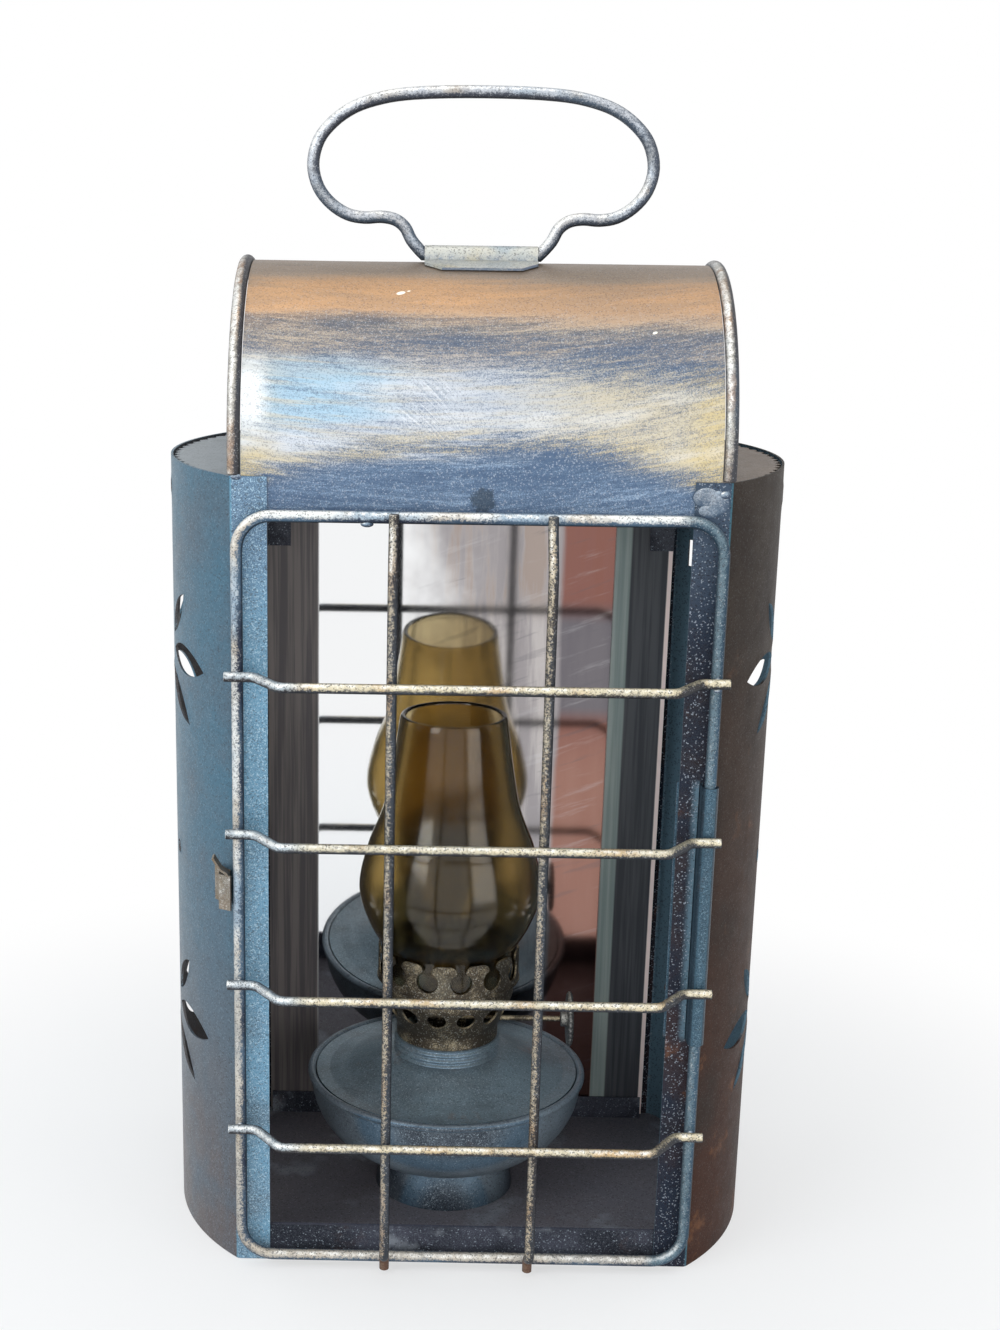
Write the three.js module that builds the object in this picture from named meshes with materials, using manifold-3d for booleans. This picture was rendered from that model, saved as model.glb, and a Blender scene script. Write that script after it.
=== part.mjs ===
// Punched tin lantern: a sheet-metal case with bowed sides, a barrel-vaulted
// hood, a mirror at the back, a hinged wire guard in front and an oil lamp inside.
// Units are millimetres. +X is to the viewer's right, +Y to the back, +Z up.
// The origin is the middle of the floor, on the surface that the lantern stands on.

import * as THREE from 'three';
import { mergeVertices } from 'three/addons/utils/BufferGeometryUtils.js';
import Module from 'manifold-3d';

const wasm = await Module();
wasm.setup();

// Driving dimensions of the case
const CASE_DEPTH = 110;
const CASE_HEIGHT = 250;
const FACE_WIDTH = 142.4;
const SIDE_BULGE = 23;
const SHEET = 0.7;
const FLANGE_WIDTH = 10.2;
const RAIL_HEIGHT = 12;
const BAND_DROP = 10;
const SEAT_GAP = 0.3;

// Hood, its end plates and the cap plates beside it
const HOOD_SPRING_RISE = 3;
const HOOD_SETBACK = 2.7;
const HOOD_END_INSET = 1.5;
const RIM_WIRE = 3.8;
const CAP_RECESS = 0.6;
const CAP_UNDERLAP = 2;
const TOOTH_COUNT = 22;
const TOOTH_DEPTH = 1.8;
const VENT_HOLE = 6;
const VENT_RING_RADIUS = 30;
const VENT_COUNT = 5;

// Mirror and what holds it
const MIRROR_SIDE_GAP = 3.2;
const MIRROR_TOP_GAP = 28;
const MIRROR_THICKNESS = 2;
const MIRROR_LEAN = 8;
const CHANNEL_HEIGHT = 8;
const TAB_WIDTH = 8;
const TAB_GRIP = 12;

// Wire guard that is the door
const FRAME_WIRE = 3.5;
const BAR_WIRE = 3;
const WELD_GAP = 0.2;
const FRAME_STANDOFF = 3.8;
const FRAME_INSET = 1.6;
const FRAME_BOTTOM = 4;
const FRAME_TOP_DROP = 10.6;
const FRAME_CORNER_RADIUS = 10;
const BAR_LOWEST_RISE = 45;
const BAR_HIGHEST_DROP = 46.4;
const BAR_COUNT = 4;
const BAR_STUB = 3.6;
const BAR_CRANK_INSET = 5;
const BAR_CRANK_RUN = 8;
const BAR_CRANK_RISE = 12;
const CRANK_BEND_RADIUS = 4;
const UPRIGHT_LEFT = -24.5;
const UPRIGHT_RIGHT = 20.5;
const UPRIGHT_STUB = 2.5;
const UPRIGHT_TOP_CRANK = 12;
const UPRIGHT_FOOT_CRANK = 5;
const UPRIGHT_BEND_RADIUS = 2.5;

// Hinge sleeve and the sprung catch
const HINGE_SHEET = 0.5;
const HINGE_CLEARANCE = 0.25;
const HINGE_BOTTOM = 79;
const HINGE_LENGTH = 82;
const HINGE_TAIL = 7;
const SLIT_CLEARANCE = 0.25;
const CATCH_BOTTOM = 120;
const CATCH_HEIGHT = 11;
const CATCH_LAP = 7;
const CATCH_ELBOW = 3.8;
const CATCH_ELBOW_DROP = 3.4;
const CATCH_LIP_DROP = 2;

// Carrying handle and its clip
const HANDLE_WIRE = 3.7;
const HANDLE_HALF_WIDTH = 52.4;
const HANDLE_RISE = 49;
const HANDLE_CLEARANCE = 0.3;
const CLIP_WIDTH = 34;
const CLIP_REACH = 14;
const CLIP_CHAMFER = 5;

// Punched flowers: leaf tips from and to, and leaf widths, as shares of the reach
const FLOWER_REACH = 38;
const FLOWER_OFFSET = -5.5;
const FLOWER_FLOOR_GAP = 71.5;
const FLOWER_TOP_GAP = 60;
const FLOWER_COUNT = 2;
const LEAF_SHARES = [
  { from: [0.3, 0.16], to: [0.66, 0.54], width: 0.17 },
  { from: [0.34, 0.04], to: [1, -0.02], width: 0.23 },
  { from: [0.2, -0.12], to: [0.76, -0.51], width: 0.165 },
];
const PIN_HOLE = 4.5;
const MIDDLE_PIN_OFFSET = 20;
const MIDDLE_PIN_HEIGHT = 127;
const TOP_PIN_OFFSET = 14;
const TOP_PIN_DROP = 9;
const CORNER_HOLE = 6;
const CORNER_HOLE_HEIGHT = 52;
const CORNER_SLOT_DROP = 44;
const CORNER_SLOT_LENGTH = 9;
const CORNER_INSET = 6.5;

// Oil lamp
const LAMP_OFFSET = -5;
const LAMP_SHEET = 0.8;
const FOOT_RADIUS = 23.3;
const FOOT_TOP_RADIUS = 21;
const FOOT_HEIGHT = 12.3;
const FONT_CASE_GAP = 9.6;
const FONT_HEIGHT = 29;
const FONT_BEAD = 1.3;
const LID_RISE = 8;
const LID_LIP = 4;
const BOWL_FOOT_SHARES = { reach: 0.55, rise: 0.12 };
const BOWL_WALL_RISE_SHARE = 0.45;
const COLLAR_RADIUS = 17.7;
const COLLAR_BORE = 13;
const COLLAR_HEIGHT = 6;
const COLLAR_RIDGES = 3;
const BURNER_RADIUS = 21.8;
const BURNER_SHEET = 0.7;
const BURNER_NECK = 4;
const BURNER_SHOULDER = 11.3;
const BURNER_HEIGHT = 21;
const AIR_HOLE = 6.4;
const AIR_HOLE_COUNT = 13;
const AIR_HOLE_RISE = 11.5;
const AIR_HOLE_TURN = 16.5;
const GALLERY_FLANGE = 0.8;
const CROWN_SHEET = 0.6;
const CROWN_HEIGHT = 11;
const CROWN_KEY_COUNT = 13;
const CROWN_KEY_RADIUS = 3.7;
const CROWN_KEY_NECK = 3;
const CROWN_KEY_RISE = 5.2;
const CROWN_KEY_TURN = 9.5;
const CROWN_LOBE_RADIUS = 2.4;
const CHIMNEY_FIT = 0.4;
const CHIMNEY_BASE_RADIUS = 22.4;
const CHIMNEY_BULGE_RADIUS = 30;
const CHIMNEY_TOP_RADIUS = 17.2;
const CHIMNEY_HEIGHT = 89;
const CHIMNEY_WALL = 1.7;
const CHIMNEY_BULGE_SHARES = [[0.9, 0.217], [1, 0.343], [0.91, 0.498], [0.72, 0.681]];
const WICK_WIDTH = 11;
const WICK_THICKNESS = 2.2;
const WICK_CLEARANCE = 0.3;
const WICK_TUBE_WALL = 0.5;
const WICK_TUBE_RISE = 10;
const WICK_TUBE_DROP = 4;
const WICK_TAIL = 34;
const WICK_TRIM = 2;
const SHAFT_RADIUS = 0.9;
const SHAFT_RISE = 6.6;
const SHAFT_INNER_END = 8;
const SHAFT_REACH = 37.6;
const SPROCKET_RADIUS = 2.4;
const SPROCKET_WIDTH = 1.6;
const SPROCKET_SPACING = 5;
const SPROCKET_TEETH = 8;
const SHAFT_BORE_CLEARANCE = 0.4;
const KNOB_RADIUS = 9.2;
const KNOB_THICKNESS = 1.7;
const KNOB_BOSS_RADIUS = 2.6;
const KNOB_BOSS_LENGTH = 2;
const KNOB_TEETH = 30;
const KNOB_KNURL = 0.5;

// Smoothness and the overrun of cutting tools
const ARC_STEPS = 22;
const VAULT_STEPS = 28;
const RIM_STEPS = 22;
const TURNED_STEPS = 24;
const WIRE_SIDES = 8;
const BEND_STEP = 24;
const LEAF_STEPS = 5;
const HOLE_STEPS = 10;
const AIR_HOLE_STEPS = 8;
const LOBE_STEPS = 3;
const CLIP_STEPS = 6;
const KEY_STEPS = 2;
const CHIMNEY_STEPS = 9;
const CUT_OVERRUN = 5;

const degrees = Math.PI / 180;
const halfDepth = CASE_DEPTH / 2;
const halfFace = FACE_WIDTH / 2;
const halfOpening = halfFace - FLANGE_WIDTH;
const hoodLength = FACE_WIDTH - 2 * HOOD_SETBACK;
const fontRadius = halfDepth - FONT_CASE_GAP;
const mirrorWidth = FACE_WIDTH - 2 * MIRROR_SIDE_GAP;
const mirrorHeight = CASE_HEIGHT - MIRROR_TOP_GAP;
const flowerPitch = (CASE_HEIGHT - FLOWER_TOP_GAP - FLOWER_FLOOR_GAP) / (FLOWER_COUNT - 1);
const sideRadius = (halfDepth ** 2 + SIDE_BULGE ** 2) / (2 * SIDE_BULGE);
const sideCentre = halfFace + SIDE_BULGE - sideRadius;
const linerFace = halfDepth - SHEET;
const linerHalfWidth = halfFace - 2 * SHEET - SEAT_GAP;

const finishes = {
  case: { color: 0x5a7482, roughness: 0.45, metalness: 0.8 },
  dark: { color: 0x3f3633, roughness: 0.5, metalness: 0.7 },
  hood: { color: 0x8a7a60, roughness: 0.35, metalness: 0.85 },
  wire: { color: 0x39404a, roughness: 0.4, metalness: 0.85 },
  catch: { color: 0x7a6650, roughness: 0.45, metalness: 0.8 },
  mirror: { color: 0xe8eaec, roughness: 0.03, metalness: 1.0 },
  font: { color: 0x5c6b72, roughness: 0.4, metalness: 0.8 },
  brass: { color: 0x6b5a3a, roughness: 0.35, metalness: 0.9 },
  glass: { color: 0x6b4f22, roughness: 0.08, metalness: 0.0 },
  wick: { color: 0xcfc6b0, roughness: 0.9, metalness: 0.0 },
};

const lantern = new THREE.Group();

// Adds a named piece to the lantern, or to a group inside it.
function addPiece(name, geometry, finish, parent = lantern) {
  const mesh = new THREE.Mesh(geometry, new THREE.MeshStandardMaterial(finishes[finish]));
  mesh.name = name;
  parent.add(mesh);
  return mesh;
}

// Boolean work
function toSolid(geometry) {
  const bare = geometry.clone();
  bare.deleteAttribute('normal');
  bare.deleteAttribute('uv');
  const merged = mergeVertices(bare);
  return new wasm.Manifold(new wasm.Mesh({
    numProp: 3,
    vertProperties: new Float32Array(merged.attributes.position.array),
    triVerts: new Uint32Array(merged.index.array),
  }));
}

function toGeometry(solid) {
  const mesh = solid.getMesh();
  const geometry = new THREE.BufferGeometry();
  geometry.setAttribute('position', new THREE.BufferAttribute(new Float32Array(mesh.vertProperties), 3));
  geometry.setIndex(new THREE.BufferAttribute(new Uint32Array(mesh.triVerts), 1));
  return geometry;
}

function cut(geometry, tools) {
  let solid = toSolid(geometry);
  for (const tool of tools) solid = solid.subtract(toSolid(tool));
  return toGeometry(solid);
}

// Extrusions: in plan along Z, across the lantern along X, and facing the front.
const AXIS_X = new THREE.Vector3(1, 0, 0);
const AXIS_Y = new THREE.Vector3(0, 1, 0);
const AXIS_Z = new THREE.Vector3(0, 0, 1);

function shapeOf(points) {
  return new THREE.Shape(points.map(([x, y]) => new THREE.Vector2(x, y)));
}

function extrudeUp(shape, height) {
  return new THREE.ExtrudeGeometry(shape, { depth: height, bevelEnabled: false, curveSegments: HOLE_STEPS });
}

// A profile drawn as (y, z), running the given length along X and centred there.
function extrudeAcross(shape, length) {
  const geometry = extrudeUp(shape, length);
  geometry.translate(0, 0, -length / 2);
  return geometry.applyMatrix4(new THREE.Matrix4().makeBasis(AXIS_Y, AXIS_Z, AXIS_X));
}

// A profile drawn as (x, z), running the given depth along Y and centred there.
function extrudeDeep(shape, depth) {
  const geometry = extrudeUp(shape, depth);
  geometry.translate(0, 0, -depth / 2);
  return geometry.applyMatrix4(new THREE.Matrix4().makeBasis(AXIS_X, AXIS_Z, AXIS_Y.clone().negate()));
}

function arcPoints(centreX, centreY, radius, fromDegrees, toDegrees, steps) {
  const points = [];
  for (let i = 0; i <= steps; i += 1) {
    const angle = (fromDegrees + (toDegrees - fromDegrees) * (i / steps)) * degrees;
    points.push([centreX + radius * Math.cos(angle), centreY + radius * Math.sin(angle)]);
  }
  return points;
}

function mirrorX(points, side) {
  return points.map(([x, y]) => [x * side, y]);
}

// The outline of a bent strip: its centre line offset to both sides.
function stripOutline(centreLine, thickness) {
  const left = [];
  const right = [];
  centreLine.forEach(([x, y], i) => {
    const [px, py] = centreLine[Math.max(i - 1, 0)];
    const [nx, ny] = centreLine[Math.min(i + 1, centreLine.length - 1)];
    const before = new THREE.Vector2(x - px, y - py).normalize();
    const after = new THREE.Vector2(nx - x, ny - y).normalize();
    const along = before.clone().add(after).normalize();
    const leaving = after.lengthSq() > 0 ? after : before;
    const mitre = Math.max(along.dot(leaving), 1 / 2);
    const reach = thickness / 2 / mitre;
    left.push([x - along.y * reach, y + along.x * reach]);
    right.unshift([x + along.y * reach, y - along.x * reach]);
  });
  return left.concat(right);
}

// A bent wire: straight runs joined by arcs, with rings only where it bends.
function bentPoints(corners, bendRadius) {
  const points = [corners[0].clone()];
  for (let i = 1; i < corners.length - 1; i += 1) {
    const into = corners[i].clone().sub(corners[i - 1]).normalize();
    const out = corners[i + 1].clone().sub(corners[i]).normalize();
    const turn = into.angleTo(out);
    const steps = Math.max(1, Math.ceil(turn / degrees / BEND_STEP));
    const start = corners[i].clone().addScaledVector(into, -bendRadius * Math.tan(turn / 2));
    const inward = out.clone().addScaledVector(into, -out.dot(into)).normalize();
    for (let k = 0; k <= steps; k += 1) {
      const angle = turn * (k / steps);
      points.push(start.clone()
        .addScaledVector(into, bendRadius * Math.sin(angle))
        .addScaledVector(inward, bendRadius * (1 - Math.cos(angle))));
    }
  }
  points.push(corners[corners.length - 1].clone());
  return points;
}

// A path that passes through its points one ring at a time.
class WirePath extends THREE.Curve {
  constructor(points) {
    super();
    this.points = points;
  }

  getPoint(share) {
    const place = share * (this.points.length - 1);
    const index = Math.min(Math.floor(place), this.points.length - 2);
    return this.points[index].clone().lerp(this.points[index + 1], place - index);
  }

  getPointAt(share) {
    return this.getPoint(share);
  }

  getSpacedPoints() {
    return this.points.map((point) => point.clone());
  }

  getTangentAt(share) {
    const last = this.points.length - 1;
    const index = Math.round(share * last);
    const before = this.points[Math.max(index - 1, 0)];
    const after = this.points[Math.min(index + 1, last)];
    const here = this.points[index];
    const into = here.clone().sub(before).normalize();
    const out = after.clone().sub(here).normalize();
    return into.add(out).normalize();
  }
}

function wire(points, diameter, sides = WIRE_SIDES) {
  const section = shapeOf(arcPoints(0, 0, diameter / 2, 0, 360, sides).slice(0, -1));
  return new THREE.ExtrudeGeometry(section, {
    steps: points.length - 1,
    extrudePath: new WirePath(points),
    bevelEnabled: false,
  });
}

// A turned piece about Z, from a profile of (radius, height) pairs.
function turned(profile, steps = TURNED_STEPS) {
  const geometry = new THREE.LatheGeometry(profile.map(([r, z]) => new THREE.Vector2(r, z)), steps);
  return geometry.rotateX(90 * degrees);
}

// Half of the case in plan: a bowed side wall with a folded flange front and back.
function wallPlan(side) {
  const outer = Math.asin(halfDepth / sideRadius) / degrees;
  const innerRadius = sideRadius - SHEET;
  const inner = Math.asin((halfDepth - SHEET) / innerRadius) / degrees;
  const points = [
    [halfOpening, -halfDepth],
    ...arcPoints(sideCentre, 0, sideRadius, -outer, outer, ARC_STEPS),
    [halfOpening, halfDepth],
    [halfOpening, linerFace],
    ...arcPoints(sideCentre, 0, innerRadius, inner, -inner, ARC_STEPS),
    [halfOpening, -linerFace],
  ];
  return shapeOf(mirrorX(points, side));
}

// A pointed leaf along its own axis, from two arcs.
function leafShape(length, width) {
  const radius = ((length / 2) ** 2 + (width / 2) ** 2) / width;
  const half = Math.asin(length / 2 / radius) / degrees;
  const drop = radius - width / 2;
  const upper = arcPoints(length / 2, -drop, radius, 90 + half, 90 - half, LEAF_STEPS);
  const lower = arcPoints(length / 2, drop, radius, -90 + half, -90 - half, LEAF_STEPS);
  return shapeOf(upper.concat(lower.slice(1, -1)));
}

// A punch that cuts through one side wall, placed by depth and height.
function sidePunch(shape, side) {
  const punch = extrudeAcross(shape, SIDE_BULGE + 2 * CUT_OVERRUN);
  return punch.translate(side * (halfFace + SIDE_BULGE / 2), 0, 0);
}

function roundPunch(diameter, depth, height, side) {
  return sidePunch(shapeOf(arcPoints(depth, height, diameter / 2, 0, 360, HOLE_STEPS).slice(0, -1)), side);
}

function leafPunches(side) {
  const punches = [];
  for (let i = 0; i < FLOWER_COUNT; i += 1) {
    for (const end of [-1, 1]) {
      for (const leaf of LEAF_SHARES) {
        const [fromY, fromZ] = leaf.from;
        const [toY, toZ] = leaf.to;
        const length = Math.hypot(toY - fromY, toZ - fromZ) * FLOWER_REACH;
        const punch = sidePunch(leafShape(length, leaf.width * FLOWER_REACH), side);
        punch.rotateX(Math.atan2(toZ - fromZ, end * (toY - fromY)));
        const height = FLOWER_FLOOR_GAP + i * flowerPitch + fromZ * FLOWER_REACH;
        punches.push(punch.translate(0, FLOWER_OFFSET + end * fromY * FLOWER_REACH, height));
      }
    }
  }
  return punches;
}

function holePunches(side) {
  const punches = [];
  for (const end of [-1, 1]) {
    punches.push(roundPunch(PIN_HOLE, end * MIDDLE_PIN_OFFSET, MIDDLE_PIN_HEIGHT, side));
    punches.push(roundPunch(PIN_HOLE, end * TOP_PIN_OFFSET, CASE_HEIGHT - TOP_PIN_DROP, side));
  }
  return punches;
}

// Two holes near the rear corner of the right wall: a round one and a slot above it.
function cornerPunches(side) {
  const depth = halfDepth - CORNER_INSET;
  const half = CORNER_HOLE / 2;
  const foot = CASE_HEIGHT - CORNER_SLOT_DROP;
  const slot = shapeOf([
    [depth - half, foot], [depth + half, foot],
    [depth + half, foot + CORNER_SLOT_LENGTH], [depth - half, foot + CORNER_SLOT_LENGTH],
  ]);
  return [roundPunch(CORNER_HOLE, depth, CORNER_HOLE_HEIGHT, side), sidePunch(slot, side)];
}

// The door turns in this sleeve, so both take their places from the same axis.
const doorAxis = { x: halfFace - FRAME_INSET, y: -halfDepth - FRAME_STANDOFF };
const sleeveRadius = FRAME_WIRE / 2 + HINGE_CLEARANCE + HINGE_SHEET / 2;
const sleeveTail = doorAxis.x - sleeveRadius;

function hingeSlit() {
  const width = HINGE_SHEET + 2 * SLIT_CLEARANCE;
  const slit = new THREE.BoxGeometry(width, SHEET + 2 * SLIT_CLEARANCE, HINGE_LENGTH + 2 * SLIT_CLEARANCE);
  return slit.translate(sleeveTail, -halfDepth + SHEET / 2, HINGE_BOTTOM + HINGE_LENGTH / 2);
}

function buildSideWalls() {
  for (const [name, side] of [['side_wall_left', -1], ['side_wall_right', 1]]) {
    const tools = [...leafPunches(side), ...holePunches(side)];
    if (side > 0) tools.push(hingeSlit(), ...cornerPunches(side));
    addPiece(name, cut(extrudeUp(wallPlan(side), CASE_HEIGHT), tools), side < 0 ? 'case' : 'dark');
  }
}

// Floor, front rail and back panel, which line the folded flanges.
function buildFloorAndBack() {
  const inset = SHEET + SEAT_GAP;
  const radius = sideRadius - inset;
  const edge = linerFace - inset;
  const sweep = Math.asin(edge / radius) / degrees;
  const right = arcPoints(sideCentre, 0, radius, -sweep, sweep, ARC_STEPS);
  const left = mirrorX(right, -1).reverse();
  addPiece('floor_plate', extrudeUp(shapeOf(right.concat(left)), SHEET), 'case');

  const face = -linerFace;
  const hem = 2 * SHEET;
  const rail = shapeOf([
    [face, 0], [face + SHEET, 0], [face + SHEET, RAIL_HEIGHT - 2 * hem],
    [face + hem, RAIL_HEIGHT - 2 * hem], [face + hem, RAIL_HEIGHT], [face, RAIL_HEIGHT],
  ]);
  addPiece('bottom_rail', extrudeAcross(rail, 2 * linerHalfWidth), 'case');

  const panelHeight = CASE_HEIGHT - BAND_DROP - SEAT_GAP;
  const panel = new THREE.BoxGeometry(2 * linerHalfWidth, SHEET, panelHeight);
  addPiece('back_panel', panel, 'dark').position.set(0, linerFace - SHEET / 2, panelHeight / 2);
}

// Hood: front band, vault and back band from one sheet, with a wire bead at each end.
const springHeight = CASE_HEIGHT + HOOD_SPRING_RISE;
const hoodTop = springHeight + linerFace;
const capTop = CASE_HEIGHT - CAP_RECESS;

function buildHood() {
  const bandBottom = CASE_HEIGHT - BAND_DROP;
  const profile = [
    [linerFace, bandBottom],
    ...arcPoints(0, springHeight, linerFace, 0, 180, VAULT_STEPS),
    [-linerFace, bandBottom],
    [-linerFace + SHEET, bandBottom],
    ...arcPoints(0, springHeight, linerFace - SHEET, 180, 0, VAULT_STEPS),
    [linerFace - SHEET, bandBottom],
  ];
  addPiece('hood_sheet', extrudeAcross(shapeOf(profile), hoodLength), 'hood');

  const rimX = hoodLength / 2 + WELD_GAP + RIM_WIRE / 2;
  const rimRadius = linerFace - SHEET / 2;
  const rimFoot = CASE_HEIGHT + SEAT_GAP;
  for (const [name, side] of [['hood_rim_left', -1], ['hood_rim_right', 1]]) {
    const line = [
      [-rimRadius, rimFoot],
      ...arcPoints(0, springHeight, rimRadius, 180, 0, RIM_STEPS),
      [rimRadius, rimFoot],
    ];
    const points = line.map(([y, z]) => new THREE.Vector3(side * rimX, y, z));
    addPiece(name, wire(points, RIM_WIRE), 'wire');
  }

  const plateRadius = linerFace - SHEET - SEAT_GAP;
  const plateX = hoodLength / 2 - HOOD_END_INSET - SHEET / 2;
  for (const [name, side] of [['hood_end_left', -1], ['hood_end_right', 1]]) {
    const outline = shapeOf([
      [-plateRadius, capTop],
      [plateRadius, capTop],
      ...arcPoints(0, springHeight, plateRadius, 0, 180, VAULT_STEPS),
    ]);
    for (let i = 0; i < VENT_COUNT; i += 1) {
      const angle = 180 * ((i + 1) / (VENT_COUNT + 1)) * degrees;
      const y = VENT_RING_RADIUS * Math.cos(angle);
      const z = springHeight + VENT_RING_RADIUS * Math.sin(angle);
      const hole = arcPoints(y, z, VENT_HOLE / 2, 0, 360, HOLE_STEPS).slice(0, -1);
      outline.holes.push(new THREE.Path(hole.map(([u, v]) => new THREE.Vector2(u, v))));
    }
    addPiece(name, extrudeAcross(outline, SHEET).translate(side * plateX, 0, 0), 'dark');
  }
}

// Cap plates close the bows beside the hood; saw teeth meet the side wall.
function buildCaps() {
  const tipRadius = sideRadius - SHEET - SEAT_GAP;
  const rootRadius = tipRadius - TOOTH_DEPTH;
  const edge = linerFace - SHEET - SEAT_GAP;
  const sweep = Math.asin(edge / tipRadius) / degrees;
  const innerEdge = hoodLength / 2 - HOOD_END_INSET - SHEET - CAP_UNDERLAP;
  for (const [name, side] of [['cap_plate_left', -1], ['cap_plate_right', 1]]) {
    const teeth = arcPoints(sideCentre, 0, 1, -sweep, sweep, 2 * TOOTH_COUNT).map(([x, y], i) => {
      const radius = i % 2 ? rootRadius : tipRadius;
      return [sideCentre + (x - sideCentre) * radius, y * radius];
    });
    const outline = shapeOf(mirrorX([[innerEdge, -edge], ...teeth, [innerEdge, edge]], side));
    addPiece(name, extrudeUp(outline, SHEET), 'case').position.z = capTop - SHEET;
  }
}

// Mirror: stands in a floor channel and leans forward to two tabs at its top.
function buildMirror() {
  const back = linerFace - SHEET;
  const channelTop = SHEET + CHANNEL_HEIGHT;
  const lean = Math.asin(MIRROR_LEAN / mirrorHeight);
  const mirrorFoot = 2 * SHEET + SEAT_GAP;
  const mirrorBack = back - SHEET - SEAT_GAP;
  const mirror = new THREE.BoxGeometry(mirrorWidth, MIRROR_THICKNESS, mirrorHeight);
  mirror.translate(0, -MIRROR_THICKNESS / 2, mirrorHeight / 2);
  const glass = addPiece('mirror_glass', mirror, 'mirror');
  glass.rotation.x = lean;
  glass.position.set(0, mirrorBack, mirrorFoot + MIRROR_THICKNESS * Math.sin(lean));

  const lipSlope = CHANNEL_HEIGHT * Math.tan(lean);
  const lipBack = mirrorBack - MIRROR_THICKNESS - SEAT_GAP - lipSlope;
  const channel = shapeOf([
    [back, SHEET], [back, channelTop], [back - SHEET, channelTop], [back - SHEET, 2 * SHEET],
    [lipBack, 2 * SHEET], [lipBack, channelTop], [lipBack - SHEET, channelTop], [lipBack - SHEET, SHEET],
  ]);
  addPiece('mirror_channel', extrudeAcross(channel, mirrorWidth - 2 * SHEET), 'case');

  const glassTop = glass.position.z + mirrorHeight * Math.cos(lean);
  const tabTop = glassTop + SEAT_GAP + SHEET;
  const tabFront = mirrorBack - MIRROR_LEAN - MIRROR_THICKNESS - SEAT_GAP;
  const tab = shapeOf([
    [back, tabTop + TAB_GRIP / 2], [back - SHEET, tabTop + TAB_GRIP / 2], [back - SHEET, tabTop],
    [tabFront - SHEET, tabTop], [tabFront - SHEET, tabTop - TAB_GRIP], [tabFront, tabTop - TAB_GRIP],
    [tabFront, tabTop - SHEET], [back, tabTop - SHEET],
  ]);
  for (const [name, side] of [['mirror_tab_left', -1], ['mirror_tab_right', 1]]) {
    addPiece(name, extrudeAcross(tab, TAB_WIDTH).translate(side * (mirrorWidth - TAB_WIDTH) / 2, 0, 0), 'case');
  }
}

// Guard door: a wire frame, cranked bars over it and two uprights between.
const frameRadius = FRAME_WIRE / 2;
const barRadius = BAR_WIRE / 2;
const frameTop = CASE_HEIGHT - FRAME_TOP_DROP;
const barLowest = FRAME_BOTTOM + BAR_LOWEST_RISE;
const barPitch = (frameTop - BAR_HIGHEST_DROP - barLowest) / (BAR_COUNT - 1);
const seatY = doorAxis.y - frameRadius - WELD_GAP - barRadius;
const sleeveSeatY = doorAxis.y - sleeveRadius - HINGE_SHEET / 2 - SEAT_GAP - barRadius;
const barY = seatY - BAR_CRANK_RISE;
const uprightY = barY + BAR_WIRE + WELD_GAP;

const guard = new THREE.Group();
guard.position.set(doorAxis.x, doorAxis.y, 0);
lantern.add(guard);

function addGuardWire(name, corners, bendRadius, diameter) {
  const local = corners.map(([x, y, z]) => new THREE.Vector3(x - doorAxis.x, y - doorAxis.y, z));
  addPiece(name, wire(bentPoints(local, bendRadius), diameter), 'wire', guard);
}

function buildGuard() {
  const { x: side, y } = doorAxis;
  const butt = WELD_GAP / 2;
  addGuardWire('guard_frame', [
    [UPRIGHT_LEFT + butt, y, FRAME_BOTTOM], [side, y, FRAME_BOTTOM], [side, y, frameTop],
    [-side, y, frameTop], [-side, y, FRAME_BOTTOM], [UPRIGHT_LEFT - butt, y, FRAME_BOTTOM],
  ], FRAME_CORNER_RADIUS, FRAME_WIRE);

  const end = side + BAR_STUB;
  const outer = side - BAR_CRANK_INSET;
  const inner = outer - BAR_CRANK_RUN;
  for (let i = 0; i < BAR_COUNT; i += 1) {
    const z = barLowest + i * barPitch;
    const besideSleeve = z > HINGE_BOTTOM - BAR_WIRE && z < HINGE_BOTTOM + HINGE_LENGTH + BAR_WIRE;
    const rightSeat = besideSleeve ? sleeveSeatY : seatY;
    addGuardWire(`guard_bar_${i + 1}`, [
      [-end, seatY, z], [-outer, seatY, z], [-inner, barY, z],
      [inner, barY, z], [outer, rightSeat, z], [end, rightSeat, z],
    ], CRANK_BEND_RADIUS, BAR_WIRE);
  }

  const crankTop = frameTop - frameRadius;
  const crankFoot = FRAME_BOTTOM + frameRadius;
  const foot = FRAME_BOTTOM - UPRIGHT_STUB;
  for (const [name, x] of [['guard_upright_left', UPRIGHT_LEFT], ['guard_upright_right', UPRIGHT_RIGHT]]) {
    addGuardWire(name, [
      [x, seatY, frameTop + barRadius], [x, seatY, crankTop], [x, uprightY, crankTop - UPRIGHT_TOP_CRANK],
      [x, uprightY, crankFoot + UPRIGHT_FOOT_CRANK], [x, seatY, crankFoot], [x, seatY, foot],
    ], UPRIGHT_BEND_RADIUS, BAR_WIRE);
  }
}

// Hinge: a strip rolled round the door's wire, its tail through a slit in the flange.
function buildHinge() {
  const tailY = -linerFace + SEAT_GAP + HINGE_SHEET / 2;
  const centreLine = [
    [sleeveTail - HINGE_TAIL, tailY],
    [sleeveTail, tailY],
    ...arcPoints(doorAxis.x, doorAxis.y, sleeveRadius, 180, 480, TURNED_STEPS / 2),
  ];
  const sleeve = extrudeUp(shapeOf(stripOutline(centreLine, HINGE_SHEET)), HINGE_LENGTH);
  addPiece('hinge_sleeve', sleeve, 'wire').position.z = HINGE_BOTTOM;
}

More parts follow.
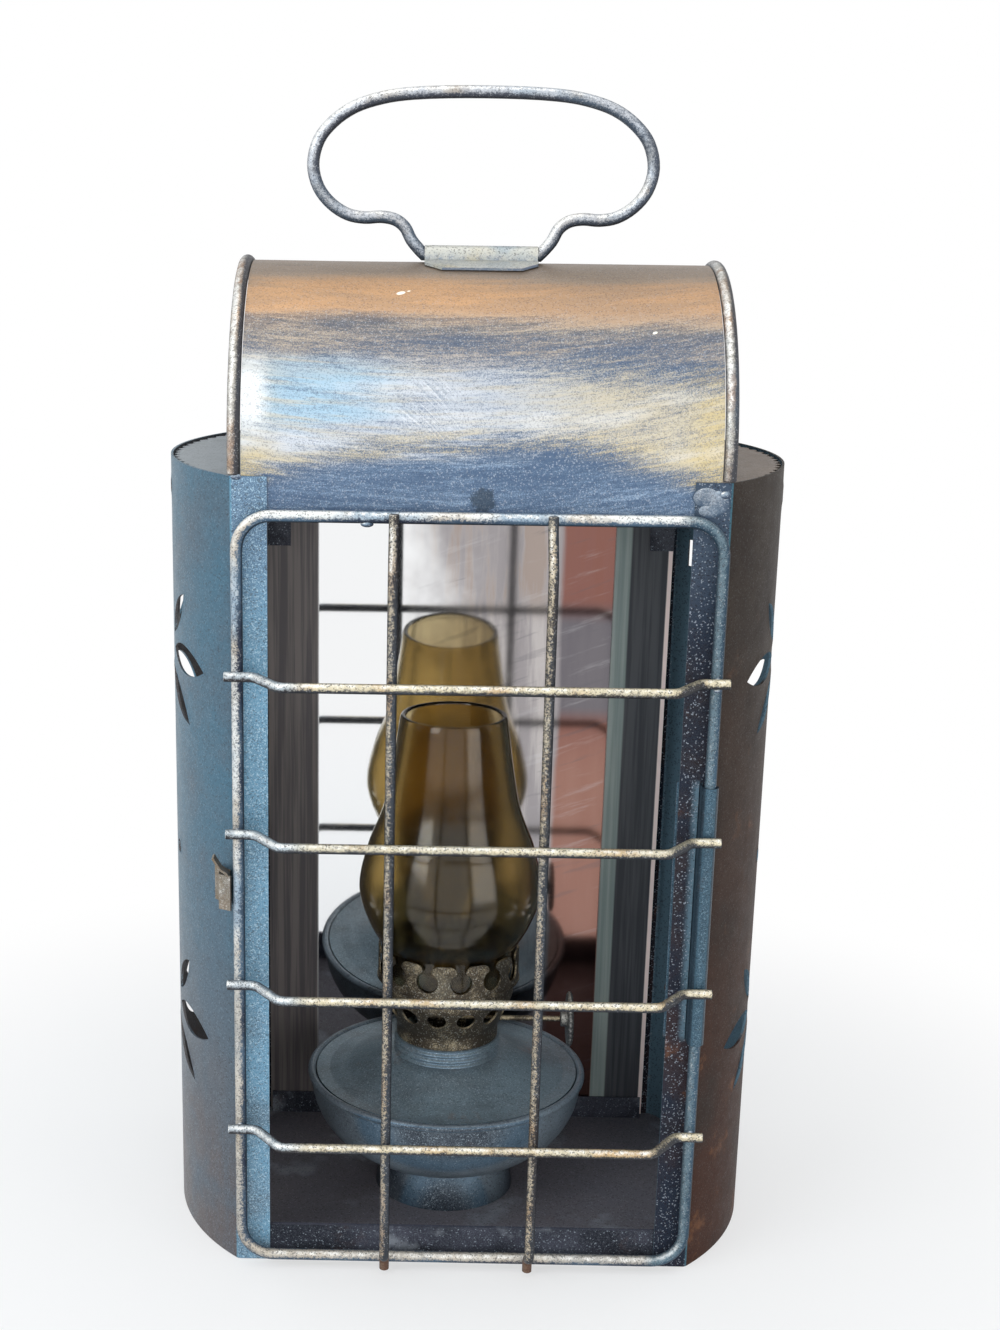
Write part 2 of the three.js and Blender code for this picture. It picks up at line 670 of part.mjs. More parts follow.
// Catch: a sprung strip lapped on the side wall, bowed out to grip the door's wire.
function buildCatch() {
  const outer = sideRadius + SEAT_GAP + SHEET / 2;
  const lapStart = Math.asin((halfDepth - SHEET) / outer) / degrees;
  const lapSweep = (CATCH_LAP / outer) / degrees;
  const lap = arcPoints(sideCentre, 0, outer, -lapStart + lapSweep, -lapStart, LEAF_STEPS);
  const [foldX, foldY] = lap[lap.length - 1];
  const wireSide = doorAxis.x + frameRadius + SEAT_GAP + SHEET / 2;
  const centreLine = [
    ...lap,
    [foldX, foldY - SEAT_GAP],
    [wireSide + CATCH_ELBOW, foldY - CATCH_ELBOW_DROP],
    [wireSide, foldY - CATCH_ELBOW_DROP - CATCH_LIP_DROP],
  ];
  const plan = mirrorX(stripOutline(centreLine, SHEET), -1);
  addPiece('door_catch', extrudeUp(shapeOf(plan), CATCH_HEIGHT), 'catch').position.z = CATCH_BOTTOM;
}

// Handle: a wire loop whose lower run turns in a folded clip on the hood.
const handleAxisZ = hoodTop + HANDLE_CLEARANCE + HANDLE_WIRE / 2;
const HANDLE_SHARES = [
  [0.41, 0.06], [0.445, 0.17], [0.53, 0.225], [0.7, 0.22],
  [0.88, 0.31], [1, 0.55], [0.9, 0.83], [0.52, 0.97], [0, 1],
];
const HANDLE_STEPS = 17;

function buildHandle() {
  const half = [
    new THREE.Vector3(CLIP_WIDTH / 2 + HANDLE_CLEARANCE, 0, 0),
    ...HANDLE_SHARES.map(([x, z]) => new THREE.Vector3(x * HANDLE_HALF_WIDTH, 0, z * HANDLE_RISE)),
  ];
  const mirrored = half.slice(0, -1).reverse().map((point) => new THREE.Vector3(-point.x, 0, point.z));
  const smooth = new THREE.CatmullRomCurve3([...half, ...mirrored], false, 'centripetal');
  const butt = new THREE.Vector3(WELD_GAP / 2, 0, 0);
  const points = [butt, ...smooth.getSpacedPoints(2 * HANDLE_STEPS), butt.clone().negate()];
  addPiece('handle_bail', wire(points, HANDLE_WIRE), 'wire').position.z = handleAxisZ;

  const under = linerFace + SEAT_GAP;
  const over = under + SHEET;
  const reach = Math.asin(CLIP_REACH / under) / degrees;
  const loopInner = HANDLE_WIRE / 2 + HANDLE_CLEARANCE;
  const loopOuter = loopInner + SHEET;
  const neckInner = Math.asin(loopInner / under) / degrees;
  const neckOuter = Math.asin(loopOuter / over) / degrees;
  const profile = [
    ...arcPoints(0, springHeight, under, 90 - reach, 90 - neckInner, CLIP_STEPS),
    ...arcPoints(0, handleAxisZ, loopInner, 0, 180, CLIP_STEPS),
    ...arcPoints(0, springHeight, under, 90 + neckInner, 90 + reach, CLIP_STEPS),
    ...arcPoints(0, springHeight, over, 90 + reach, 90 + neckOuter, CLIP_STEPS),
    ...arcPoints(0, handleAxisZ, loopOuter, 180, 0, CLIP_STEPS),
    ...arcPoints(0, springHeight, over, 90 - neckOuter, 90 - reach, CLIP_STEPS),
  ];
  const corners = [];
  for (const side of [-1, 1]) {
    for (const end of [-1, 1]) {
      const x = side * CLIP_WIDTH / 2;
      const y = end * CLIP_REACH;
      const corner = shapeOf([[x - side * CLIP_CHAMFER, y], [x, y - end * CLIP_CHAMFER],
        [x + side * CUT_OVERRUN, y - end * CLIP_CHAMFER], [x + side * CUT_OVERRUN, y + end * CUT_OVERRUN],
        [x - side * CLIP_CHAMFER, y + end * CUT_OVERRUN]]);
      corners.push(extrudeUp(corner, linerFace).translate(0, 0, springHeight));
    }
  }
  addPiece('handle_clip', cut(extrudeAcross(shapeOf(profile), CLIP_WIDTH), corners), 'hood');
}

// Oil lamp, built upward from the floor plate in its own group.
const lamp = new THREE.Group();
lamp.position.set(LAMP_OFFSET, 0, SHEET);
lantern.add(lamp);

const fontBase = FOOT_HEIGHT;
const lidBase = fontBase + FONT_HEIGHT;
const collarBase = lidBase + LID_RISE;
const burnerBase = collarBase + COLLAR_HEIGHT;
const flangeTop = burnerBase + BURNER_HEIGHT;
const chimneyBase = flangeTop + SEAT_GAP;
const crownInner = CHIMNEY_BASE_RADIUS + CHIMNEY_FIT;
const crownOuter = crownInner + CROWN_SHEET;
const shaftHeight = burnerBase + SHAFT_RISE;

function buildFont() {
  addPiece('lamp_foot', turned([
    [0, FOOT_HEIGHT - LAMP_SHEET], [FOOT_TOP_RADIUS - LAMP_SHEET, FOOT_HEIGHT - LAMP_SHEET],
    [FOOT_RADIUS - LAMP_SHEET, 0], [FOOT_RADIUS, 0], [FOOT_TOP_RADIUS, FOOT_HEIGHT], [0, FOOT_HEIGHT],
  ]), 'font', lamp);

  const bowl = new THREE.CubicBezierCurve(
    new THREE.Vector2(FOOT_TOP_RADIUS, 0),
    new THREE.Vector2(
      FOOT_TOP_RADIUS + (fontRadius - FOOT_TOP_RADIUS) * BOWL_FOOT_SHARES.reach,
      FONT_HEIGHT * BOWL_FOOT_SHARES.rise,
    ),
    new THREE.Vector2(fontRadius, FONT_HEIGHT * BOWL_WALL_RISE_SHARE),
    new THREE.Vector2(fontRadius, FONT_HEIGHT - FONT_BEAD),
  ).getPoints(HOLE_STEPS / 2).map((point) => [point.x, point.y]);
  const inside = bowl.slice().reverse().map(([r, z], i) => [r - LAMP_SHEET, i === 0 ? z : z + LAMP_SHEET]);
  const bead = arcPoints(fontRadius, FONT_HEIGHT, FONT_BEAD, -90, 180, HOLE_STEPS / 2).slice(1);
  addPiece('lamp_font', turned([
    [0, 0], ...bowl, ...bead, ...inside, [0, LAMP_SHEET],
  ]), 'font', lamp).position.z = fontBase;

  const rim = fontRadius - FONT_BEAD - SEAT_GAP;
  const lidTop = [
    [rim, LAMP_SHEET], [rim - LID_LIP, LAMP_SHEET], [rim - 2 * LID_LIP, 2 * LAMP_SHEET],
    [COLLAR_RADIUS + LID_LIP, LID_RISE - LAMP_SHEET], [COLLAR_RADIUS + LAMP_SHEET, LID_RISE],
  ];
  const lidUnder = lidTop.slice().reverse().map(([r, z]) => [r, z - LAMP_SHEET]);
  addPiece('lamp_lid', turned([
    ...lidTop, [COLLAR_BORE, LID_RISE], [COLLAR_BORE, LID_RISE - LAMP_SHEET], ...lidUnder, lidTop[0],
  ]), 'font', lamp).position.z = lidBase;

  const step = COLLAR_HEIGHT / (2 * COLLAR_RIDGES);
  const groove = COLLAR_RADIUS - LAMP_SHEET;
  const ridges = [[COLLAR_RADIUS, 0]];
  for (let i = 1; i < 2 * COLLAR_RIDGES; i += 1) ridges.push([i % 2 ? COLLAR_RADIUS : groove, i * step]);
  addPiece('burner_collar', turned([
    [COLLAR_BORE, 0], ...ridges, [COLLAR_RADIUS, COLLAR_HEIGHT], [COLLAR_BORE, COLLAR_HEIGHT], [COLLAR_BORE, 0],
  ]), 'brass', lamp).position.z = collarBase;
}

// Burner basket: a thin flared shell with a ring of air holes, a shaft bore and a flange.
function buildBurner() {
  const neck = COLLAR_RADIUS - LAMP_SHEET;
  const flare = (BURNER_RADIUS - neck) / BURNER_SHOULDER;
  const flaredRadius = (rise) => neck + flare * (rise - BURNER_NECK);
  const flangeRadius = crownOuter + SEAT_GAP;
  const outer = [
    [neck, 0], [neck, BURNER_NECK], [BURNER_RADIUS, BURNER_NECK + BURNER_SHOULDER],
    [BURNER_RADIUS, BURNER_HEIGHT - GALLERY_FLANGE], [flangeRadius, BURNER_HEIGHT - GALLERY_FLANGE],
    [flangeRadius, BURNER_HEIGHT],
  ];
  const inner = [
    [BURNER_RADIUS - BURNER_SHEET, BURNER_HEIGHT],
    [BURNER_RADIUS - BURNER_SHEET, BURNER_NECK + BURNER_SHOULDER],
    [neck - BURNER_SHEET, BURNER_NECK], [neck - BURNER_SHEET, BURNER_SHEET],
    [COLLAR_BORE, BURNER_SHEET], [COLLAR_BORE, 0],
  ];
  const punches = [];
  for (let i = 0; i < AIR_HOLE_COUNT; i += 1) {
    const punch = new THREE.CylinderGeometry(AIR_HOLE / 2, AIR_HOLE / 2, CUT_OVERRUN, AIR_HOLE_STEPS);
    punch.rotateX(Math.atan(flare)).translate(0, -flaredRadius(AIR_HOLE_RISE), AIR_HOLE_RISE);
    punches.push(punch.rotateZ((AIR_HOLE_TURN + 360 * (i / AIR_HOLE_COUNT)) * degrees));
  }
  const bore = SHAFT_RADIUS + SHAFT_BORE_CLEARANCE;
  const shaftHole = new THREE.CylinderGeometry(bore, bore, 2 * CUT_OVERRUN, HOLE_STEPS).rotateZ(90 * degrees);
  punches.push(shaftHole.translate(flaredRadius(SHAFT_RISE), shaftY, SHAFT_RISE));
  addPiece('burner_basket', cut(turned([...outer, ...inner, outer[0]]), punches), 'brass', lamp)
    .position.z = burnerBase;
}

// One keyhole between two rounded prongs: a round eye, a narrow neck and a flared mouth.
function keyShape() {
  const mouth = CROWN_HEIGHT - CROWN_LOBE_RADIUS;
  const neck = CROWN_KEY_NECK / 2;
  const open = Math.asin(neck / CROWN_KEY_RADIUS) / degrees;
  const eye = arcPoints(0, CROWN_KEY_RISE, CROWN_KEY_RADIUS, 90 + open, 450 - open, HOLE_STEPS);
  const right = arcPoints(neck + CROWN_LOBE_RADIUS, mouth, CROWN_LOBE_RADIUS, 180, 90, LOBE_STEPS);
  const left = arcPoints(-neck - CROWN_LOBE_RADIUS, mouth, CROWN_LOBE_RADIUS, 90, 0, LOBE_STEPS);
  const top = CROWN_HEIGHT + CUT_OVERRUN;
  return shapeOf([...eye, ...right, [neck + CROWN_LOBE_RADIUS, top], [-neck - CROWN_LOBE_RADIUS, top], ...left]);
}

// Gallery crown: puzzle-edged prongs that hold the foot of the chimney.
function buildCrown() {
  const ring = turned([
    [crownInner, 0], [crownOuter, 0], [crownOuter, CROWN_HEIGHT], [crownInner, CROWN_HEIGHT], [crownInner, 0],
  ], KEY_STEPS * CROWN_KEY_COUNT);
  const keys = [];
  for (let i = 0; i < CROWN_KEY_COUNT; i += 1) {
    const key = extrudeDeep(keyShape(), CUT_OVERRUN).translate(0, -crownOuter, 0);
    keys.push(key.rotateZ((CROWN_KEY_TURN + 360 * (i / CROWN_KEY_COUNT)) * degrees));
  }
  addPiece('gallery_crown', cut(ring, keys), 'brass', lamp).position.z = flangeTop;
}

// Chimney: blown glass, drawn in above the bulge to a plain open top.
function buildChimney() {
  const bulge = CHIMNEY_BULGE_SHARES.map(([r, z]) => new THREE.Vector2(
    CHIMNEY_BULGE_RADIUS * r, CHIMNEY_HEIGHT * z,
  ));
  const foot = new THREE.Vector2(CHIMNEY_BASE_RADIUS, CROWN_HEIGHT);
  const top = new THREE.Vector2(CHIMNEY_TOP_RADIUS, CHIMNEY_HEIGHT);
  const blown = new THREE.SplineCurve([foot, ...bulge, top]).getPoints(CHIMNEY_STEPS);
  const wall = [[CHIMNEY_BASE_RADIUS, 0], ...blown.map((point) => [point.x, point.y])];
  const inside = wall.slice().reverse().map(([r, z]) => [r - CHIMNEY_WALL, z]);
  addPiece('lamp_chimney', turned([...wall, ...inside, wall[0]]), 'glass', lamp).position.z = chimneyBase;
}

// Wick and its raiser: a flat tube, a toothed shaft and a milled knob.
const tubeHalfDepth = WICK_THICKNESS / 2 + WICK_CLEARANCE + WICK_TUBE_WALL;
const shaftY = -(WICK_THICKNESS / 2 + WICK_CLEARANCE + SPROCKET_RADIUS);

function toothedDisc(radius, depth, teeth, thickness) {
  const points = arcPoints(0, 0, 1, 0, 360, 2 * teeth).slice(0, -1)
    .map(([x, y], i) => [x * (radius - (i % 2) * depth), y * (radius - (i % 2) * depth)]);
  return extrudeAcross(shapeOf(points), thickness);
}

function buildWick() {
  const tubeTop = flangeTop + WICK_TUBE_RISE;
  const tubeFoot = burnerBase - WICK_TUBE_DROP;
  const bore = shapeOf([[-1, -1], [1, -1], [1, 1], [-1, 1]].map(([x, y]) => [
    x * (WICK_WIDTH / 2 + WICK_CLEARANCE), y * (WICK_THICKNESS / 2 + WICK_CLEARANCE),
  ]));
  const jacket = shapeOf([[-1, -1], [1, -1], [1, 1], [-1, 1]].map(([x, y]) => [
    x * (WICK_WIDTH / 2 + WICK_CLEARANCE + WICK_TUBE_WALL), y * tubeHalfDepth,
  ]));
  jacket.holes.push(bore);
  const windows = [-1, 1].map((side) => new THREE.BoxGeometry(
    SPROCKET_WIDTH + 2 * WICK_CLEARANCE, 2 * WICK_TUBE_WALL + WICK_CLEARANCE, 2 * SPROCKET_RADIUS,
  ).translate(side * SPROCKET_SPACING / 2, -tubeHalfDepth, shaftHeight - tubeFoot));
  addPiece('wick_tube', cut(extrudeUp(jacket, tubeTop - tubeFoot), windows), 'brass', lamp)
    .position.z = tubeFoot;

  const wickTop = tubeTop + WICK_TRIM;
  const wickFoot = tubeFoot - WICK_TAIL;
  const wick = new THREE.BoxGeometry(WICK_WIDTH, WICK_THICKNESS, wickTop - wickFoot);
  addPiece('wick', wick, 'wick', lamp).position.z = (wickTop + wickFoot) / 2;

  const raiser = new THREE.Group();
  raiser.position.set(0, shaftY, shaftHeight);
  lamp.add(raiser);
  const length = SHAFT_REACH + SHAFT_INNER_END;
  let rod = toSolid(new THREE.CylinderGeometry(SHAFT_RADIUS, SHAFT_RADIUS, length, HOLE_STEPS)
    .rotateZ(90 * degrees).translate((SHAFT_REACH - SHAFT_INNER_END) / 2, 0, 0));
  for (const side of [-1, 1]) {
    const disc = toothedDisc(SPROCKET_RADIUS, KNOB_KNURL, SPROCKET_TEETH, SPROCKET_WIDTH);
    rod = rod.add(toSolid(disc.translate(side * SPROCKET_SPACING / 2, 0, 0)));
  }
  addPiece('wick_shaft', toGeometry(rod), 'brass', raiser);

  const rim = toothedDisc(KNOB_RADIUS, KNOB_KNURL, KNOB_TEETH, KNOB_THICKNESS).translate(KNOB_THICKNESS / 2, 0, 0);
  const boss = new THREE.CylinderGeometry(KNOB_BOSS_RADIUS, KNOB_BOSS_RADIUS, KNOB_BOSS_LENGTH + KNOB_THICKNESS / 2,
    HOLE_STEPS).rotateZ(90 * degrees);
  boss.translate(-(KNOB_BOSS_LENGTH - KNOB_THICKNESS / 2) / 2, 0, 0);
  addPiece('wick_knob', toGeometry(toSolid(rim).add(toSolid(boss))), 'brass', raiser)
    .position.x = SHAFT_REACH + KNOB_BOSS_LENGTH + WELD_GAP;
}

buildSideWalls();
buildFloorAndBack();
buildHood();
buildCaps();
buildMirror();
buildGuard();
buildHinge();
buildCatch();
buildHandle();
buildFont();
buildBurner();
buildCrown();
buildChimney();
buildWick();

export default lantern;
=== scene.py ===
"""Looks of a punched tin oil lantern, dressed over its fixed metal frame.

The case has bowed, punched sides under a barrel hood. A wire guard swings in
front, and an oil lamp with a smoky chimney stands before a mirror. Sizes in
the classes are millimetres, and pieces are written to the scene in metres.
"""

import logging
import math
import random
from dataclasses import dataclass, field
from enum import Enum
from functools import cache
from typing import Callable, Iterable, Sequence, Union

import bpy
import numpy as np
from mathutils import Matrix, Vector
from mathutils.geometry import delaunay_2d_cdt


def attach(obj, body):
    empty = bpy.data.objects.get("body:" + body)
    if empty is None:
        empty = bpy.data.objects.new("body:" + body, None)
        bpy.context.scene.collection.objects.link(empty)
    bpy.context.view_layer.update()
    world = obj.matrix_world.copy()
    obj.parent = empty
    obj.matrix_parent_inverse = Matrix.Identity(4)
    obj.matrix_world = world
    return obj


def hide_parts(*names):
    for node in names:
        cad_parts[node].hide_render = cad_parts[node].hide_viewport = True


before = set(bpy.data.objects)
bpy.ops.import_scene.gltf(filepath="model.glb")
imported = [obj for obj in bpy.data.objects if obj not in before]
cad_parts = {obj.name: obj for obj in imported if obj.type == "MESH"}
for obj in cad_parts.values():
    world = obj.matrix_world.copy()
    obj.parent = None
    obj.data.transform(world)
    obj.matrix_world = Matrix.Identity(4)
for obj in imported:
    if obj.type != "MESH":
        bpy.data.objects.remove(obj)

LOG = logging.getLogger("lantern")
MM = 0.001
Point2 = tuple[float, float]
Point3 = tuple[float, float, float]
Colour = tuple[float, float, float]
Loop = list[Point2]
Faces = list[tuple[int, ...]]
Spot = tuple[Vector, Vector]
Placer = Callable[[float, float], Spot]
Lump = tuple[Point3, Point3, int]
Value = Union["Wire", float]
Paint = Union["Wire", Colour]


class Body(Enum):
    """Rigid bodies of the lantern that a piece can ride on."""

    CASE = "case"
    DOOR = "door"
    HANDLE = "handle"
    LAMP = "lamp"
    CHIMNEY = "chimney"
    RAISER = "raiser"


class Side(Enum):
    """The two sides of the lantern, as signs along X."""

    LEFT = -1
    RIGHT = 1

    @property
    def word(self) -> str:
        """The side's name in lower case."""
        return self.name.lower()


# Shader expressions


def operator(operation: str, flipped: bool = False) -> Callable[["Wire", Value], "Wire"]:
    """Makes one operator of a wire.

    Args:
        operation: What its Math node does.
        flipped: Whether the other value comes first.

    Returns:
        The operator, as a method.
    """

    def apply(wire: "Wire", other: Value) -> "Wire":
        """Adds the Math node and returns its result."""
        pair = (other, wire) if flipped else (wire, other)
        return wire.bench.node("ShaderNodeMath", {"operation": operation}, dict(enumerate(pair)))

    return apply


class Wire:
    """A socket of a material that takes part in sums and products."""

    def __init__(self, bench: "Bench", socket: bpy.types.NodeSocket) -> None:
        """Wraps an output socket of a bench's material."""
        self.bench = bench
        self.socket = socket

    __add__ = __radd__ = operator("ADD")
    __sub__ = operator("SUBTRACT")
    __rsub__ = operator("SUBTRACT", True)
    __mul__ = __rmul__ = operator("MULTIPLY")
    __pow__ = operator("POWER")
    most = operator("MAXIMUM")
    angle_from = operator("ARCTAN2")

    def rise(self, low: float, high: float) -> "Wire":
        """Eases from 0 at low to 1 at high, which may lie under low."""
        settings = {"interpolation_type": "SMOOTHSTEP"}
        return self.bench.node("ShaderNodeMapRange", settings, {0: self, 1: low, 2: high, 3: 0.0, 4: 1.0})


class Bench:
    """Workbench for one material: adds nodes, patterns and the final shader."""

    def __init__(self, name: str, world: bool = False) -> None:
        """Starts an empty material, or an empty world, under a name."""
        self.owner = (bpy.data.worlds if world else bpy.data.materials).new(name)
        self.owner.use_nodes = True
        self.tree = self.owner.node_tree
        self.tree.nodes.clear()
        self.out = self.tree.nodes.new("ShaderNodeOutputWorld" if world else "ShaderNodeOutputMaterial")

    def node(
        self, kind: str, settings: dict[str, object] | None = None,
        inputs: dict[int | str, object] | None = None, output: int | str = 0,
    ) -> Wire:
        """Adds any node.

        Args:
            kind: Node type.
            settings: Properties, which are set first.
            inputs: Values or wires by socket index or name.
            output: Which output to return.

        Returns:
            The chosen output.
        """
        made = self.tree.nodes.new(kind)
        for key, value in (settings or {}).items():
            setattr(made, key, value)
        for key, value in (inputs or {}).items():
            socket = made.inputs[key]
            if isinstance(value, Wire):
                self.tree.links.new(value.socket, socket)
            else:
                socket.default_value = (*value, 1.0) if socket.type == "RGBA" else value
        return Wire(self, made.outputs[output])

    def mapped(self, operation: str, first: Wire, second: Wire | Point3, output: int | str = 0) -> Wire:
        """Works two vectors out with a Vector Math node."""
        return self.node("ShaderNodeVectorMath", {"operation": operation}, {0: first, 1: second}, output)

    def place(self) -> Wire:
        """Place on the piece, in metres, which moves with the piece."""
        return self.node("ShaderNodeTexCoord", output="Object")

    def facing(self) -> Wire:
        """Direction of the surface, which moves with the piece."""
        return self.node("ShaderNodeTexCoord", output="Normal")

    def parts(self, vector: Wire) -> tuple[Wire, ...]:
        """The three shares of a vector."""
        node = self.node("ShaderNodeSeparateXYZ", inputs={0: vector}).socket.node
        return tuple(Wire(self, output) for output in node.outputs)

    def vector(self, first: Value, second: Value, third: Value = 0.0) -> Wire:
        """A vector made of its shares."""
        return self.node("ShaderNodeCombineXYZ", None, {0: first, 1: second, 2: third})

    def cloud(
        self, scale: float, detail: float = 3.0, rough: float = 0.55, stretch: Point3 = (1.0, 1.0, 1.0),
        at: Wire | None = None, seed: float = 0.0,
    ) -> Wire:
        """Soft noise, which may be drawn out along an axis.

        Args:
            scale: Cells in a metre.
            detail: Octaves.
            rough: Strength of the finer octaves.
            stretch: Scale of each axis.
            at: Place to read the noise at, or the piece's own.
            seed: Shift that tells patterns apart.

        Returns:
            Noise between 0 and 1.
        """
        shifted = self.mapped("ADD", self.mapped("MULTIPLY", at or self.place(), stretch), (seed, seed, seed))
        inputs = {"Vector": shifted, "Scale": scale, "Detail": detail, "Roughness": rough}
        return self.node("ShaderNodeTexNoise", None, inputs)

    def streaks(
        self, detail: float, rough: float, across: float, up: float, at: Wire, seed: float,
    ) -> Wire:
        """Soft noise on a flat place, with its own cells in a metre across and up."""
        return self.cloud(1, detail, rough, (across, up, 1), at, seed)

    def flakes(self, scale: float, share: float, squeeze: Point3 | None = None) -> Wire:
        """Scattered single flakes.

        Args:
            scale: Flakes in a metre along each axis.
            share: Share of the cells that hold a flake.
            squeeze: Scale of each axis, which tells patterns apart.

        Returns:
            1 on a flake and 0 between them.
        """
        at = self.mapped("MULTIPLY", self.place(), squeeze) if squeeze else self.place()
        red, *_ = self.parts(self.node("ShaderNodeTexVoronoi", None, {"Vector": at, "Scale": scale}, "Color"))
        return red.rise(1 - share, 1 - share * 0.5)

    def tint(self, mask: Value, under: Paint, over: Paint) -> Wire:
        """Lays one colour over another where a mask says."""
        return self.node("ShaderNodeMix", {"data_type": "RGBA"}, {"Factor": mask, 6: under, 7: over}, 2)

    def coats(self, base: Paint, *coats: tuple[Value, Paint]) -> Paint:
        """Lays coats of colour on a base in turn, each where its mask says."""
        for mask, colour in coats:
            base = self.tint(mask, base, colour)
        return base

    def bump(self, height: Wire, strength: float, distance: float) -> Wire:
        """Surface relief from a height."""
        inputs = {"Height": height, "Strength": strength, "Distance": distance}
        return self.node("ShaderNodeBump", None, inputs)

    def seen(self) -> Wire:
        """1 on the rays that show the background: the camera's, gloss and glass."""
        rays = self.node("ShaderNodeLightPath").socket.node.outputs
        camera, gloss, glass = (
            Wire(self, rays[f"Is {kind} Ray"]) for kind in ("Camera", "Glossy", "Transmission"))
        return camera.most(gloss).most(glass)

    def close(self, shader: Wire) -> bpy.types.ID:
        """Ends the material or world with its shader and returns it."""
        self.tree.links.new(shader.socket, self.out.inputs["Surface"])
        return self.owner

    def finish(self, inputs: dict[str, object]) -> bpy.types.Material:
        """Closes the material with its surface shader, given by its sockets' names."""
        return self.close(self.node("ShaderNodeBsdfPrincipled", None, inputs))


# Finishes


def tone(red: int, green: int, blue: int) -> Colour:
    """A colour named as a screen shows it, turned into shader light."""
    return tuple(
        share / 12.92 if share <= 0.04045 else ((share + 0.055) / 1.055) ** 2.4
        for share in (red / 255, green / 255, blue / 255))


@dataclass(frozen=True)
class FlakedPaint:
    """Metallic paint with fine bright flake, worn and browner towards the floor."""

    name: str
    top: Colour
    low: Colour
    flake: Colour
    cloudy: Colour
    front: Colour
    fold: Colour
    front_flake: float = 0.5
    flake_share: float = 0.16
    metal: float = 0.35
    rough: float = 0.42
    rust: float = 0.25
    low_end: float = 0.25
    side: float = 0.0
    # Colour of faces turned inwards, lightened as painted light.
    inner: Colour = (0.06, 0.06, 0.06)
    spec: float = 0.3
    veil: float = 1.0
    crown: Colour = (0.1, 0.14, 0.2)
    crown_share: float = 0.0
    dusty: float = 0.0

    def material(self) -> bpy.types.Material:
        """Builds the paint."""
        bench = Bench(self.name)
        *_, height = bench.parts(bench.place())
        facing_x, facing_y, _ = bench.parts(bench.facing())
        climb = (height + bench.cloud(22, 3) * 0.09 - 0.045).rise(0.0, self.low_end)
        ahead = 0 - facing_y
        front = ahead.rise(0.82, 0.97)
        fold = ahead.rise(0.72, 0.8) * ahead.rise(0.97, 0.86)
        streak = bench.cloud(90, 5, 0.65, (1.0, 1.0, 0.12), seed=21)
        patch = bench.cloud(48, 4, 0.6, seed=13).rise(0.34, 0.62)
        base = bench.coats(
            self.low,
            (climb, self.top),
            (bench.cloud(34, 5, 0.62, seed=3).rise(0.4, 0.7) * 0.8, self.cloudy),
            (streak.rise(0.5, 0.72) * 0.35, self.cloudy),
            (front * (0.45 + patch * 0.55), self.front))
        if self.crown_share:
            base = bench.tint(front * height.rise(0.196, 0.238) * self.crown_share, base, self.crown)
        base = bench.tint(fold * 0.75, base, self.fold)
        # Faces turned inwards take the inner colour: the inside paint, lightened as painted light for the
        # light that the mirror throws back onto them.
        if self.side:
            base = bench.tint((facing_x * -self.side).rise(0.02, 0.12), base, self.inner)
        if self.dusty:
            dust = bench.cloud(46, 4, 0.6, seed=21).rise(0.56, 0.7) * self.dusty
            base = bench.tint(dust, base, tone(146, 152, 160))
        grain = bench.cloud(3400, 2, 0.7, seed=7)
        shine = front * self.front_flake + (1 - self.front_flake) * 0.5
        spark = bench.flakes(2900, self.flake_share)
        worn = bench.cloud(60, 6, 0.7, seed=11).rise(0.58, 0.72) * self.rust * (1 - climb * 0.7)
        base = bench.coats(
            base,
            (grain.rise(0.44, 0.74) * shine * self.veil, self.flake),
            (spark * (0.05 + shine * 0.8), self.flake),
            (bench.flakes(2300, 0.16, (1.0, 1.0, 1.07)) * 0.45, tuple(share * 0.3 for share in self.low)),
            (worn, tone(122, 82, 54)))
        return bench.finish({
            "Base Color": base,
            "Roughness": bench.cloud(180, 4, 0.6, seed=5) * 0.22 + (self.rough - 0.11) - spark * 0.1,
            "Metallic": self.metal,
            "Specular IOR Level": self.spec,
            "Normal": bench.bump(bench.cloud(900, 3, 0.6, seed=2) * 0.5 + grain * 0.5, 0.25, 0.0002),
        })


